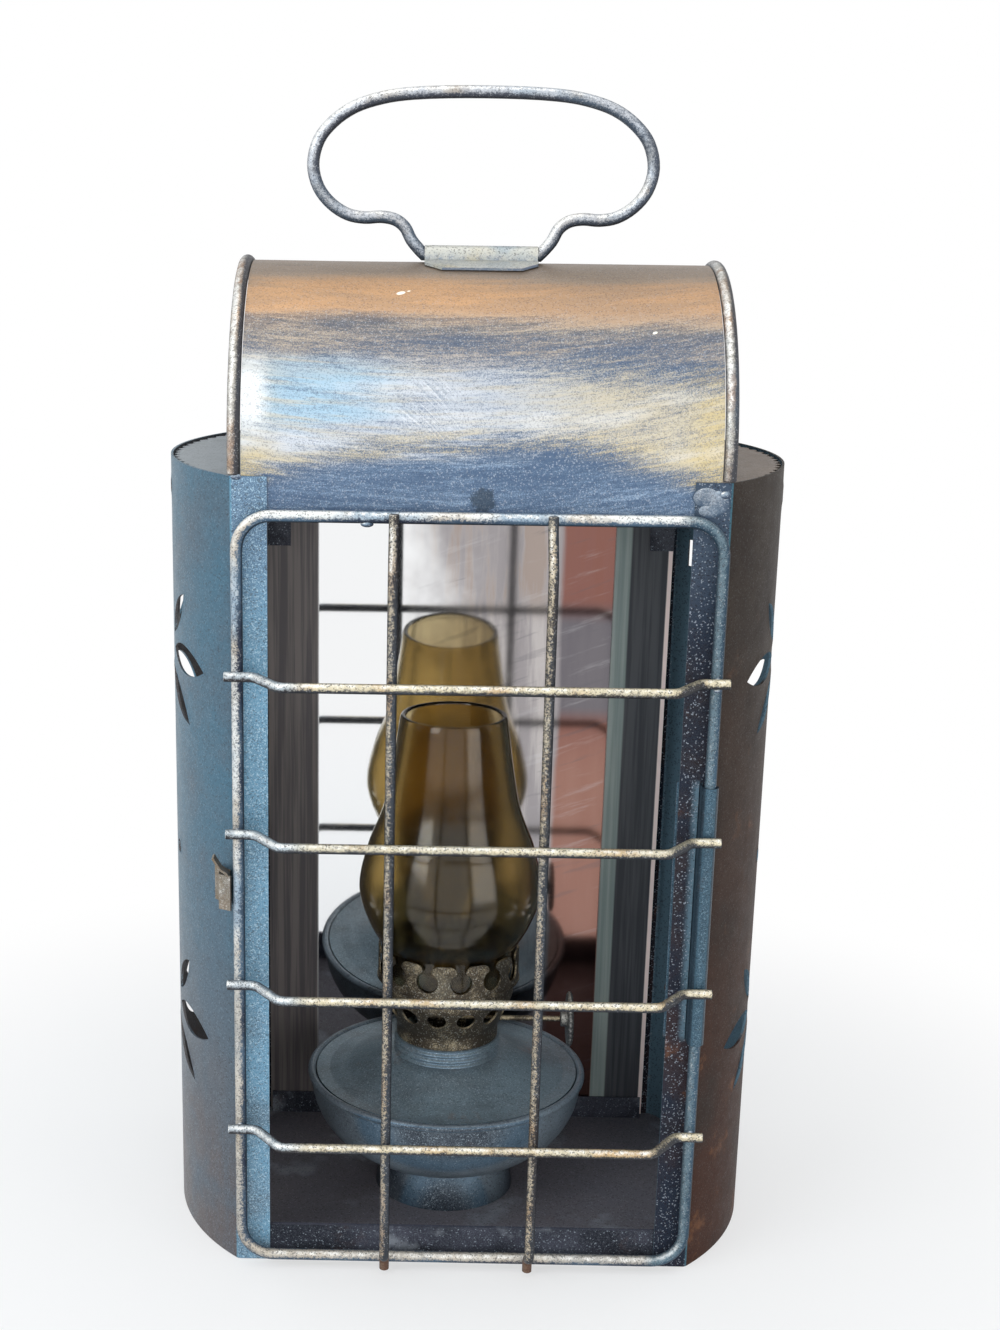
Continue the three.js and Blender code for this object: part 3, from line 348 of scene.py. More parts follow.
@dataclass(frozen=True)
class BrushedHood:
    """Hood paint: slate, dry-brushed along the barrel with silver, cream and gold, with a painted sheen and
    painted reflections over it: a pale band low on the front of the arc, a bluish tint at the left and a
    white patch at the far left.
    """

    name: str = "hood_brushed"
    spring: float = 0.253
    arc: float = 0.00095
    slate: Colour = tone(72, 92, 118)
    dusk: Colour = tone(92, 92, 96)
    silver: Colour = tone(180, 186, 194)
    # Colour of the painted bluish reflection at the hood's left.
    sky: Colour = tone(150, 184, 204)
    cream: Colour = tone(186, 177, 156)
    gold: Colour = tone(190, 173, 130)
    copper: Colour = tone(188, 148, 108)
    umber: Colour = tone(132, 116, 100)
    chips: tuple[Point3, ...] = ((-0.0238, 59.4, 0.0013), (0.049, 43.4, 0.0007), (-0.0215, 60.5, 0.0005))
    smudge: Point2 = (0.0008, 0.2438)

    def material(self) -> bpy.types.Material:
        """Builds the brushed hood paint."""
        bench = Bench(self.name)
        across, deep, height = bench.parts(bench.place())
        turn = (height - self.spring).angle_from(0 - deep) * (180 / math.pi)
        climb = turn * self.arc - across * 0.05
        sheet = bench.vector(across, climb - across * across * 1.3)
        broad = bench.streaks(4, 0.55, 16, 150, sheet, 1)
        fine = bench.streaks(6, 0.75, 80, 800, sheet, 4)
        hair = bench.streaks(4, 0.8, 240, 2600, sheet, 6)
        grit = bench.cloud(2600, 3, 0.85, seed=8)
        sway = (broad - 0.5) * 16 + (bench.streaks(2, 0.5, 9, 9, sheet, 3) - 0.5) * 9
        zone = turn - across * 16 + sway
        foot = turn + across * across * 2400 + sway * 0.6
        # The pale band low on the front of the arc: partly brushed paint, partly a painted sheen.
        pale = foot.rise(3, 14) * (turn + across * 50 + sway).rise(35, 22)
        warm = zone.rise(42, 53) * zone.rise(76, 64)
        crest = zone.rise(60, 74)
        brush = (fine - 0.5) * 1.7 + (hair - 0.5) * 1.3 + (grit - 0.5) * 2.2 + (broad - 0.5) * 1.1
        dark = zone.rise(24, 33) * zone.rise(50, 42)
        cover = pale * 0.62 + warm * 0.7 + crest * 0.66 + dark * 0.12 - turn.rise(112, 150) * 0.3
        mask = (cover + brush + 0.2).rise(0.0, 1.0)
        left = (0 - across + (broad - 0.5) * 0.06).rise(0.012, 0.044)
        right = (across + (fine - 0.5) * 0.05).rise(-0.005, 0.045)
        ends = (across * across + (broad - 0.5) * 0.0012).rise(0.054 ** 2, 0.066 ** 2)
        cream = bench.streaks(4, 0.6, 30, 500, sheet, 15).rise(0.48, 0.66)
        low_gold = foot.rise(17, 8) * bench.streaks(3, 0.6, 22, 260, sheet, 25).rise(0.42, 0.62)
        copper = bench.tint(broad.rise(0.46, 0.58) * 0.6 + right * 0.3, self.copper, tone(158, 130, 104))
        light = bench.coats(
            self.silver,
            (right, self.cream),
            # painted bluish reflection at the left
            (left * zone.rise(8, 17) * 0.8, self.sky),
            (ends * (0.3 + right * 0.6 + foot.rise(20, 12) * 0.6), self.gold),
            (cream * 0.6, self.cream),
            (low_gold * 0.7, self.gold),
            (zone.rise(26, 36), tone(176, 162, 144)),
            (warm, copper),
            (crest, self.umber),
            (foot.rise(6, 1), tone(142, 164, 186)))
        deep_warm = bench.tint(crest, tone(158, 122, 92), tone(98, 90, 84))
        under = bench.coats(self.slate, (zone.rise(24, 50), self.dusk), (warm.most(crest) * 0.8, deep_warm))
        # White streaks in the pale band and the bright white patch at the far left are painted sheen and
        # painted reflection.
        white = pale * bench.streaks(3, 0.6, 24, 120, sheet, 19).rise(0.5, 0.66) * mask
        frayed = 0 - across + (grit - 0.5) * 0.005 + (fine - 0.5) * 0.008
        far_left_glare = frayed.rise(0.059, 0.0655) * zone.rise(8, 17) * zone.rise(34, 25)
        slope = bench.vector(across * 0.55 - climb * 0.83, across * 0.83 + climb * 0.55 + across * across * 9)
        score = bench.streaks(3, 0.7, 55, 2600, slope, 2)
        spot_x, spot_y = across + 0.015, climb - 0.0165
        patch = (spot_x * spot_x + spot_y * spot_y).rise(0.012 ** 2, 0.005 ** 2)
        base = bench.coats(
            bench.tint(mask, under, light),
            (white * 0.35, tone(214, 217, 220)),
            (far_left_glare * 0.8, tone(236, 237, 238)),
            (bench.flakes(3000, 0.12) * (0.42 - mask * 0.25), self.silver),
            (bench.flakes(2800, 0.2, (1.0, 1.1, 1.0)) * (0.2 + mask * 0.12), tone(52, 58, 68)),
            (patch * score.rise(0.54, 0.6) * 0.5, tone(132, 142, 156)),
            (patch * score.rise(0.42, 0.38) * 0.3, tone(240, 242, 244)))
        for x, angle, size in self.chips:
            dx, dy = across - x, (turn - angle) * self.arc * 1.6 - (across - x) * 0.5
            chip = (dx * dx + dy * dy).rise(size ** 2 * 1.3, size ** 2 * 0.6)
            base = bench.tint(chip, base, tone(250, 246, 232))
        smudge = self._smudge(bench, across, height, grit) * turn.rise(20, 5) * (0 - deep).rise(0.0, 0.01)
        base = bench.tint(smudge * 0.72, base, tone(38, 50, 62))
        return bench.finish({
            "Base Color": base,
            "Roughness": 0.5 - mask * 0.14 + fine * 0.12,
            "Metallic": 0.3,
            "Specular IOR Level": 0.3,
            "Normal": bench.bump(fine * 0.5 + hair * 0.3 + grit * 0.3, 0.3, 0.00025),
        })

    def _smudge(self, bench: Bench, across: Wire, height: Wire, grit: Wire) -> Wire:
        """Mask of the ragged smudge on the front band."""
        x, z = self.smudge
        side = (across - x).most(x - across)
        tall = (height - z).most(z - height)
        ragged = (bench.cloud(420, 3, 0.7, seed=33) - 0.5) * 0.005 + (grit - 0.5) * 0.002
        return ((side * side + tall * tall) ** 0.5 + ragged).rise(0.0042, 0.0026)


@dataclass(frozen=True)
class BrushedWire:
    """Wire paint: near-black navy with speckled pale metal brushed on, laid mostly on the faces turned up and
    forward towards the key light as a painted highlight, with a painted glint on top and painted shade
    underneath.
    """

    name: str
    base: Colour = tone(44, 52, 68)
    light: Colour = tone(206, 204, 192)
    warm: Colour = tone(190, 158, 112)
    cool: Colour = tone(104, 138, 164)
    cover: float = 0.5
    coolness: float = 0.4
    metal: float = 0.5
    low_warm: float = 0.5
    bright: float = 0.0
    right_dim: float = 0.0
    end_cool: float = 0.0
    rusty_below: float = 0.0
    speckle: float = 0.5
    gritty: float = 1.0

    def material(self) -> bpy.types.Material:
        """Builds the brushed wire paint."""
        bench = Bench(self.name)
        # How far the surface faces up, forward and left towards the key light; the pale coat, the glint and
        # the dark underside follow it as painted highlight and painted shade.
        face = bench.mapped("DOT_PRODUCT", bench.facing(), (-0.45, -0.62, 0.64), "Value")
        patch = bench.cloud(42, 4, 0.6, seed=2)
        grit = bench.cloud(2600, 4, 0.85, seed=5)
        mid = bench.cloud(420, 4, 0.7, seed=9)
        across, _, height = bench.parts(bench.place())
        spread = (patch - 0.5) * 0.9 + (grit - 0.5) * 1.3 + (mid - 0.5) * 0.9
        spread = spread + (bench.cloud(1300, 3, 0.8, seed=31) - 0.5) * self.gritty
        # Pale coat: brushed metal broken up by noise, but placed mostly on the lit side, so partly a painted
        # highlight.
        mask = (face * 1.9 + spread + (self.cover - 1.45)).rise(0.0, 0.85)
        low = (bench.cloud(18, 3, 0.6, seed=8) * 0.16 - height).rise(-0.06, 0.04)
        light = bench.coats(
            self.light,
            (bench.cloud(50, 3, 0.6, seed=14).rise(0.48, 0.66) * 0.8, self.warm),
            (bench.cloud(38, 3, 0.6, seed=17).rise(0.47, 0.62) * self.coolness, self.cool),
            (low * self.low_warm, self.warm))
        cool = bench.cloud(16, 3, 0.6, seed=11).rise(0.42, 0.6) * self.coolness
        under = bench.tint(cool * 0.6, self.base, self.cool)
        dim = 1.0
        # On the right run the wire turns bluer, and its painted highlight and glint are dimmed.
        if self.right_dim:
            right = (across + (patch - 0.5) * 0.01).rise(0.056, 0.062)
            under = bench.tint(right * 0.6, under, tone(46, 72, 88))
            light = bench.tint(right, light, tone(120, 140, 148))
            dim = 1 - right * self.right_dim
        if self.end_cool:
            light = bench.tint((0 - across).rise(0.046, 0.056) * self.end_cool, light, tone(160, 176, 190))
        # A painted glint where the surface faces the key light most, and painted shade on the faces turned
        # down and away from it.
        glint = (face + (mid - 0.5) * 0.7 + (grit - 0.5) * 0.6 + self.bright).rise(0.78, 1.02) * dim
        underside_shade = (face + (grit - 0.5) * 0.5).rise(0.15, -0.3)
        base = bench.coats(
            under,
            (mask * 0.95 * dim, light),
            (glint * 0.8, tone(240, 240, 236)),
            (bench.flakes(3200, 0.1) * 0.3, tone(190, 194, 198)),
            (bench.flakes(2700, 0.2) * self.speckle * mask, tone(48, 48, 52)),
            (underside_shade * 0.8, tone(28, 30, 36)))
        if self.rusty_below:
            rusty = height.rise(self.rusty_below, self.rusty_below - 0.003)
            base = bench.tint(rusty * 0.85, base, tone(98, 72, 58))
        return bench.finish({
            "Base Color": base,
            "Roughness": 0.46 - mask * 0.1 + grit * 0.1,
            "Metallic": self.metal,
            "Specular IOR Level": 0.3,
            "Normal": bench.bump(grit, 0.35, 0.0002),
        })


@dataclass(frozen=True)
class AgedMetal:
    """Burner metal: brown-black and mottled, bright where rubbing wore it and, as a painted highlight, on
    faces turned up and forward.
    """

    name: str
    dark: Colour
    worn: Colour
    bloom: Colour
    rub: float = 0.5
    metal: float = 0.7

    def material(self) -> bpy.types.Material:
        """Builds the aged metal."""
        bench = Bench(self.name)
        patch = bench.cloud(120, 5, 0.65, seed=1)
        grit = bench.cloud(2300, 3, 0.75, seed=3)
        # Bright wear comes from noise and also from facing up and forward, which paints a highlight.
        face = bench.mapped("DOT_PRODUCT", bench.facing(), (-0.2, -0.6, 0.77), "Value")
        rubbed_and_highlit = ((patch - 0.5) * 1.6 + (grit - 0.5) * 1.6 + face * 0.45 + self.rub - 0.5).rise(0.3, 0.8)
        base = bench.coats(
            self.dark,
            (rubbed_and_highlit * 0.85, self.worn),
            (bench.cloud(75, 4, seed=6).rise(0.5, 0.66) * 0.6, self.bloom),
            (bench.flakes(2900, 0.1) * 0.4, tone(196, 196, 186)))
        return bench.finish({
            "Base Color": base,
            "Roughness": 0.36 + patch * 0.2,
            "Metallic": self.metal,
            "Normal": bench.bump(patch * 0.5 + grit * 0.5, 0.3, 0.0002),
        })


@dataclass(frozen=True)
class SmokedGlass:
    """Smoky brown glass, a little matt and darker towards its foot and neck."""

    name: str = "chimney_glass"
    clear: Colour = tone(210, 192, 148)
    smoked: Colour = tone(198, 180, 138)

    def material(self) -> bpy.types.Material:
        """Builds the chimney glass."""
        bench = Bench(self.name)
        *_, height = bench.parts(bench.place())
        smoke = (height + bench.cloud(30, 3) * 0.03).rise(0.14, 0.092)
        neck = (height + bench.cloud(55, 3, seed=7) * 0.01).rise(0.14, 0.165)
        return bench.finish({
            "Base Color": bench.coats(self.clear, (smoke, self.smoked), (neck * 0.6, self.smoked)),
            "Roughness": 0.13 + bench.cloud(160, 4, 0.6, seed=2).rise(0.5, 0.8) * 0.1,
            "IOR": 1.46,
            "Specular IOR Level": 0.38,
            "Transmission Weight": 1.0,
            "Normal": bench.bump(bench.cloud(28, 2, 0.4, (1.0, 1.0, 0.35), seed=4), 0.12, 0.002),
        })


@dataclass(frozen=True)
class SilveredGlass:
    """Mirror glass with worn edges and painted reflections: darker towards its right, partly hazed silvering
    and partly a painted reflection of a darker room, a painted brown reflection low on the right, and dark
    side bands with a light strip that paint the reflected side walls and right stile.
    """

    name: str = "mirror_silver"
    wall_reflection_start: float = 0.0508
    stile_reflection_start: float = 0.0488
    nod: float = -0.046

    def material(self) -> bpy.types.Material:
        """Builds the mirror."""
        bench = Bench(self.name)
        across, _, height = bench.parts(bench.place())
        flat = bench.vector(across, height)
        slope = bench.vector(across * 0.94 + height * 0.34, height * 0.94 - across * 0.34)
        smear = bench.streaks(5, 0.65, 22, 200, slope, 5)
        stain = bench.streaks(4, 0.6, 150, 16, flat, 7)
        streak = bench.streaks(4, 0.6, 420, 9, flat, 12)
        rim = (across * across).rise(0.0655 ** 2, 0.068 ** 2).most(height.rise(0.012, 0.003))
        fox = (rim + bench.cloud(240, 4, 0.7) - 0.55).rise(0.25, 0.8)
        # Darker towards the right: partly hazed silvering, partly a painted reflection of a darker room.
        haze_and_dark_reflection = (across + (bench.cloud(24, 4, 0.6, seed=3) - 0.5) * 0.07).rise(-0.03, 0.004)
        veil = bench.coats(
            tone(150, 144, 146),
            (stain.rise(0.4, 0.62), tone(186, 180, 178)),
            (height.rise(0.185, 0.2) * stain.rise(0.44, 0.58) * 0.8, tone(150, 130, 118)))
        # Brown patch low on the right: a painted reflection of the brown surroundings.
        tan = (across + (stain - 0.5) * 0.006).rise(0.0295, 0.0325)
        brown = bench.coats(
            tone(156, 112, 98),
            (height.rise(0.13, 0.16), tone(136, 90, 80)),
            (height.rise(0.15, 0.158) * height.rise(0.196, 0.186), tone(108, 104, 110)))
        # Dark bands at both sides, made matt and not metallic, paint the reflected side walls; a light strip
        # just inside the right band paints the reflected right stile.
        left = (0 - across).rise(self.wall_reflection_start - 0.0004, self.wall_reflection_start + 0.0004)
        right = across.rise(self.stile_reflection_start - 0.0004, self.stile_reflection_start + 0.0004)
        wall_reflection_band = left.most(right)
        lines = streak.rise(0.42, 0.6)
        stile_reflection = right * across.rise(self.stile_reflection_start + 0.0058, self.stile_reflection_start + 0.005)
        shade = bench.coats(
            bench.tint(lines, tone(76, 72, 74), tone(104, 98, 96)),
            (right, bench.tint(lines, tone(52, 54, 60), tone(72, 74, 78))),
            (stile_reflection, bench.tint(streak.rise(0.35, 0.65), tone(118, 132, 130), tone(146, 156, 152))))
        base = bench.coats(
            tone(244, 245, 246),
            (haze_and_dark_reflection * 0.92, veil),
            (tan * 0.92, brown),
            (smear.rise(0.56, 0.7) * 0.18 * haze_and_dark_reflection, tone(210, 210, 212)),
            (smear.rise(0.42, 0.34) * haze_and_dark_reflection * 0.25, tone(100, 100, 106)),
            (wall_reflection_band, shade),
            (fox * 0.5 * (1 - wall_reflection_band), tone(96, 88, 82)),
            (across.rise(0.0664, 0.0668), tone(238, 220, 214)))
        leant = bench.mapped("ADD", bench.facing(), (0.0, 0.0, self.nod))
        return bench.finish({
            "Base Color": base,
            "Roughness": 0.02 + haze_and_dark_reflection * 0.04 + smear * 0.03 + fox * 0.3 + wall_reflection_band * 0.4,
            "Metallic": 1 - wall_reflection_band,
            "Normal": bench.node("ShaderNodeVectorMath", {"operation": "NORMALIZE"}, {0: leant}),
        })


@dataclass(frozen=True)
class WovenCotton:
    """Flat cotton wick, charred at its trimmed end."""

    name: str = "wick_cotton"

    def material(self) -> bpy.types.Material:
        """Builds the wick's weave."""
        bench = Bench(self.name)
        across, _, height = bench.parts(bench.place())
        weft, warp = (
            bench.node("ShaderNodeMath", {"operation": "SINE"}, {0: threads})
            for threads in (across * 7000, height * 6000))
        cloth = weft * warp * 0.5 + 0.5
        char = (height + bench.cloud(900, 2) * 0.0015).rise(0.0855, 0.0885)
        base = bench.coats(tone(172, 162, 140), (cloth, tone(212, 206, 186)), (char, tone(28, 25, 23)))
        return bench.finish({
            "Base Color": base,
            "Roughness": 0.9,
            "Normal": bench.bump(cloth, 0.6, 0.0003),
        })


class Finish(Enum):
    """Every finish of the lantern."""

    # The two walls differ partly in paint and partly as painted light: the left wall's colours are lighter
    # and bluer as if lit from the left, the right wall's darker and browner as painted shade and a painted
    # brown reflection.
    WALL_LEFT = FlakedPaint(
        "case_blue_lit", tone(62, 100, 120), tone(88, 80, 80), tone(160, 186, 202), tone(74, 92, 106),
        tone(88, 132, 158), tone(96, 142, 166), 0.8, low_end=0.16, side=-1.0, inner=tone(92, 88, 88),
        crown=tone(74, 98, 124), crown_share=0.85)
    WALL_RIGHT = FlakedPaint(
        "case_brown_shaded", tone(54, 48, 43), tone(58, 35, 26), tone(130, 138, 148), tone(42, 36, 33),
        tone(26, 33, 46), tone(62, 104, 120), 0.97, 0.1, 0.15, 0.55, 0.5, side=1.0,
        inner=tone(84, 108, 122), spec=0.1, veil=0.12, crown=tone(62, 78, 96), crown_share=0.7)
    INSIDE = FlakedPaint(
        "case_inside", tone(96, 98, 106), tone(72, 74, 86), tone(140, 150, 160), tone(80, 80, 92),
        tone(26, 28, 36), tone(44, 50, 60), 0.3, 0.06, 0.1, 0.55, 0.1, spec=0.12, veil=0.3, dusty=0.55)
    FLOOR = FlakedPaint(
        "floor_grey", tone(140, 136, 138), tone(118, 114, 120), tone(170, 176, 182), tone(112, 110, 118),
        tone(44, 46, 54), tone(56, 60, 68), 0.3, 0.06, 0.1, 0.55, 0.1, spec=0.12, veil=0.3, dusty=0.7)
    CAP_LEFT = FlakedPaint(
        "cap_grey", tone(152, 158, 162), tone(152, 158, 162), tone(190, 196, 202), tone(132, 138, 142),
        tone(110, 122, 132), tone(120, 130, 138), 0.4, 0.05, 0.2, 0.5, 0.1, veil=0.4)
    CAP_RIGHT = FlakedPaint(
        "cap_brown", tone(124, 110, 98), tone(124, 110, 98), tone(160, 150, 140), tone(104, 90, 80),
        tone(100, 90, 82), tone(100, 90, 82), 0.4, 0.05, 0.2, 0.5, 0.3, veil=0.4)
    HOOD = BrushedHood()
    GUARD = BrushedWire(
        "wire_frame", light=tone(212, 214, 212), warm=tone(178, 166, 148), cover=0.85, coolness=0.7,
        low_warm=0.7, right_dim=0.46, speckle=0.6, gritty=2.8)
    BARS = BrushedWire(
        "wire_bars", base=tone(52, 50, 52), light=tone(206, 196, 168), cover=0.8, coolness=0.1,
        low_warm=0.1, end_cool=0.8, speckle=0.7, gritty=2.6)
    UPRIGHTS = BrushedWire(
        "wire_uprights", base=tone(50, 48, 50), light=tone(186, 174, 152), warm=tone(170, 144, 116),
        cover=0.5, coolness=0.15, low_warm=0.1, bright=-0.1, rusty_below=0.0095, speckle=1.0, gritty=4.0)
    RIM = BrushedWire(
        "rim_wire", base=tone(62, 62, 66), light=tone(176, 172, 164), warm=tone(168, 128, 90), cover=0.52,
        coolness=0.25, low_warm=0.0, bright=-0.02)
    HANDLE = BrushedWire(
        "handle_wire", base=tone(70, 74, 84), light=tone(182, 186, 192), warm=tone(160, 148, 132),
        cover=0.8, coolness=0.3, metal=0.6, low_warm=0.0, gritty=2.2)
    CLIP = BrushedWire(
        "clip_wire", base=tone(110, 118, 134), light=tone(190, 190, 182), warm=tone(186, 176, 146),
        cover=0.8, coolness=0.5, metal=0.4, low_warm=0.0, bright=-0.15)
    SLEEVE = FlakedPaint(
        "sleeve_blue", tone(46, 66, 80), tone(40, 56, 68), tone(104, 128, 142), tone(36, 46, 56),
        tone(52, 78, 94), tone(60, 88, 104), 0.6, 0.12)
    CATCH = BrushedWire(
        "catch_bronze", base=tone(112, 96, 76), light=tone(150, 138, 116), warm=tone(158, 128, 90),
        cover=0.4, coolness=0.25, low_warm=0.0)
    SOLDER = BrushedWire(
        "solder_silver", base=tone(66, 80, 98), light=tone(150, 164, 178), warm=tone(150, 156, 162),
        cover=0.62, coolness=0.5, metal=0.4, low_warm=0.0, bright=-0.02)
    MIRROR = SilveredGlass()
    LAMP = FlakedPaint(
        "lamp_slate", tone(108, 120, 130), tone(44, 50, 61), tone(150, 164, 174), tone(78, 84, 90),
        tone(42, 49, 60), tone(66, 92, 112), 0.4, 0.1, 0.3, 0.4, 0.3, low_end=0.024, veil=0.7)
    LID = FlakedPaint(
        "lid_slate", tone(106, 124, 134), tone(106, 124, 134), tone(176, 190, 198), tone(80, 88, 94),
        tone(98, 122, 140), tone(98, 122, 140), 0.4, 0.1, 0.3, 0.42, 0.4, veil=0.8)
    BURNER = AgedMetal("burner_dark", tone(68, 61, 52), tone(192, 178, 148), tone(94, 90, 80), 0.62)
    KNOB = AgedMetal("knob_worn", tone(84, 84, 84), tone(200, 198, 190), tone(104, 112, 120), 0.66)
    GLASS = SmokedGlass()
    WICK = WovenCotton()

    @cache
    def material(self) -> bpy.types.Material:
        """The finish as a material, mixed once."""
        return self.value.material()


# Shapes


@dataclass
class Shape:
    """Corners, in millimetres, and faces of a piece before it is an object."""

    corners: list[Vector] = field(default_factory=list)
    faces: Faces = field(default_factory=list)

    def add(self, other: "Shape") -> "Shape":
        """Joins another shape to this one."""
        start = len(self.corners)
        self.corners += other.corners
        self.faces += [tuple(i + start for i in face) for face in other.faces]
        return self

    def moved(self, x: float = 0.0, y: float = 0.0, z: float = 0.0) -> "Shape":
        """The shape shifted, as a new shape."""
        return Shape([corner + Vector((x, y, z)) for corner in self.corners], list(self.faces))

    def turned(self, degrees: float, axis: str) -> "Shape":
        """The shape turned about an axis through the origin, as a new shape."""
        turn = Matrix.Rotation(math.radians(degrees), 3, axis)
        return Shape([turn @ corner for corner in self.corners], list(self.faces))

    def flipped(self) -> "Shape":
        """The shape with its faces turned to look the other way."""
        return Shape(self.corners, [tuple(reversed(face)) for face in self.faces])


class Forge:
    """Makes shapes: swept wires, turned pieces, rolled strips and cut sheets."""

    MERGE = 1e-6
    CLEARANCE = 0.35
    LIP_REACH = 1.1
    LONGEST = 12.0
    SOFTENED = 0.14

    @staticmethod
    def around(sides: int) -> list[Point2]:
        """Even directions round a circle, as cosine and sine."""
        return [(math.cos(math.tau * k / sides), math.sin(math.tau * k / sides)) for k in range(sides)]

    @staticmethod
    def arc(x: float, y: float, radius: float, start: float, end: float, steps: int) -> Loop:
        """Points along an arc.

        Args:
            x: First coordinate of its centre.
            y: Second coordinate of its centre.
            radius: Its radius.
            start: Angle of its first point, in degrees.
            end: Angle of its last point, in degrees.
            steps: Number of its chords.

        Returns:
            The points, one more than the chords.
        """
        turns = [math.radians(start + (end - start) * i / steps) for i in range(steps + 1)]
        return [(x + radius * math.cos(turn), y + radius * math.sin(turn)) for turn in turns]

    @staticmethod
    def ring(x: float, y: float, radius: float, sides: int) -> Loop:
        """A round hole's edge."""
        return Forge.arc(x, y, radius, 0, 360, sides)[:-1]

    @staticmethod
    def curve(start: Vector, end: Vector, leave: Vector, arrive: Vector, t: float) -> Vector:
        """A point at share t of a smooth curve, which leaves and arrives along two directions."""
        return (
            start * (2 * t ** 3 - 3 * t ** 2 + 1) + leave * (t ** 3 - 2 * t ** 2 + t)
            + end * (3 * t ** 2 - 2 * t ** 3) + arrive * (t ** 3 - t ** 2))

    @staticmethod
    def bent(corners: Sequence[Vector], radius: float, step: float = 7.0) -> list[Vector]:
        """Runs through corners with an arc at each bend.

        Args:
            corners: Ends and bends of the wire.
            radius: Bend radius.
            step: Degrees between points of an arc.

        Returns:
            Points along the wire.
        """
        made = [corners[0].copy()]
        for before, here, after in zip(corners, corners[1:], corners[2:]):
            into = (here - before).normalized()
            out = (after - here).normalized()
            turn = into.angle(out)
            steps = max(1, math.ceil(math.degrees(turn) / step))
            start = here - into * radius * math.tan(turn / 2)
            inward = (out - into * out.dot(into)).normalized()
            for k in range(steps + 1):
                angle = turn * k / steps
                made.append(start + into * radius * math.sin(angle) + inward * radius * (1 - math.cos(angle)))
        made.append(corners[-1].copy())
        return made

    @staticmethod
    def cranked(corners: Sequence[Vector], bend: float, radius: float, sides: int) -> Shape:
        """A round wire bent at its corners, with points close enough on its long runs.

        Args:
            corners: Ends and bends of the wire.
            bend: Bend radius.
            radius: Wire radius.
            sides: Faces round the wire.

        Returns:
            The wire's shape.
        """
        path = Forge.bent(corners, bend)
        points = [path[0]]
        for start, end in zip(path, path[1:]):
            count = max(1, math.ceil((end - start).length / Forge.LONGEST))
            points += [start.lerp(end, (i + 1) / count) for i in range(count)]
        return Forge.sweep(points, radius, sides)

    @staticmethod
    def sweep(points: Sequence[Vector], radius: float, sides: int) -> Shape:
        """A round wire along points, with softened ends.

        Args:
            points: Centre line.
            radius: Wire radius.
            sides: Faces round the wire.

        Returns:
            The wire's shape.
        """
        before, after = [points[0], *points[:-1]], [*points[1:], points[-1]]
        tangents = [
            ((here - back).normalized() + (ahead - here).normalized()).normalized()
            for back, here, ahead in zip(before, points, after)]
        side = tangents[0].orthogonal().normalized()
        rings: list[tuple[Vector, Vector, Vector, float]] = []
        for point, tangent in zip(points, tangents):
            side = (side - tangent * side.dot(tangent)).normalized()
            rings.append((point, side.copy(), tangent.cross(side), radius))
        soft = radius * Forge.SOFTENED
        first, last = rings[0], rings[-1]
        rings[0] = (first[0] + tangents[0] * soft, *first[1:])
        rings[-1] = (last[0] - tangents[-1] * soft, *last[1:])
        rings = [(*first[:3], radius - soft), *rings, (*last[:3], radius - soft)]
        made = Shape([
            point + (across * cos + up * sin) * size
            for point, across, up, size in rings for cos, sin in Forge.around(sides)])
        for low in range(0, (len(rings) - 1) * sides, sides):
            for k in range(sides):
                n = (k + 1) % sides
                made.faces.append((low + k, low + n, low + sides + n, low + sides + k))
        made.faces.append(tuple(reversed(range(sides))))
        made.faces.append(tuple(range((len(rings) - 1) * sides, len(rings) * sides)))
        return made

    @staticmethod
    def lathe(profile: Loop, sides: int = 96) -> Shape:
        """Turns a closed profile of (radius, height) about Z.

        Args:
            profile: Points anticlockwise, which close on themselves or on the axis.
            sides: Faces round the piece.

        Returns:
            The turned shape.
        """
        made = Shape()
        rings: list[list[int]] = []
        for radius, height in profile:
            start = len(made.corners)
            if radius < Forge.MERGE:
                made.corners.append(Vector((0, 0, height)))
                rings.append([start] * sides)
            else:
                made.corners += [
                    Vector((radius * cos, radius * sin, height)) for cos, sin in Forge.around(sides)]
                rings.append(list(range(start, start + sides)))
        on_axis = profile[0][0] < Forge.MERGE and profile[-1][0] < Forge.MERGE
        for low, high in zip(rings, rings[1:] if on_axis else rings[1:] + rings[:1]):
            for k in range(sides):
                n = (k + 1) % sides
                face = tuple(dict.fromkeys((low[k], low[n], high[n], high[k])))
                if len(face) > 2:
                    made.faces.append(face)
        return made

    @staticmethod
    def prism(outline: Loop, low: float, high: float) -> Shape:
        """An upright slab of a plan outline.

        Args:
            outline: The outline, anticlockwise.
            low: Height of its foot.
            high: Height of its top.

        Returns:
            The slab.
        """
        count = len(outline)
        corners = [Vector((x, y, z)) for z in (low, high) for x, y in outline]
        faces: Faces = [tuple(reversed(range(count))), tuple(range(count, 2 * count))]
        faces += [(i, (i + 1) % count, count + (i + 1) % count, count + i) for i in range(count)]
        return Shape(corners, faces)

    @staticmethod
    def strip(line: Loop, thickness: float) -> Loop:
        """The outline of a bent strip about its centre line.

        Args:
            line: Centre line.
            thickness: Thickness of the strip.

        Returns:
            The closed outline.
        """
        left: Loop = []
        right: Loop = []
        reach = thickness / 2
        for (px, py), (x, y), (nx, ny) in zip([line[0], *line[:-1]], line, [*line[1:], line[-1]]):
            along = Vector((nx - px, ny - py)).normalized()
            left.append((x - along.y * reach, y + along.x * reach))
            right.append((x + along.y * reach, y - along.x * reach))
        return right + left[::-1]

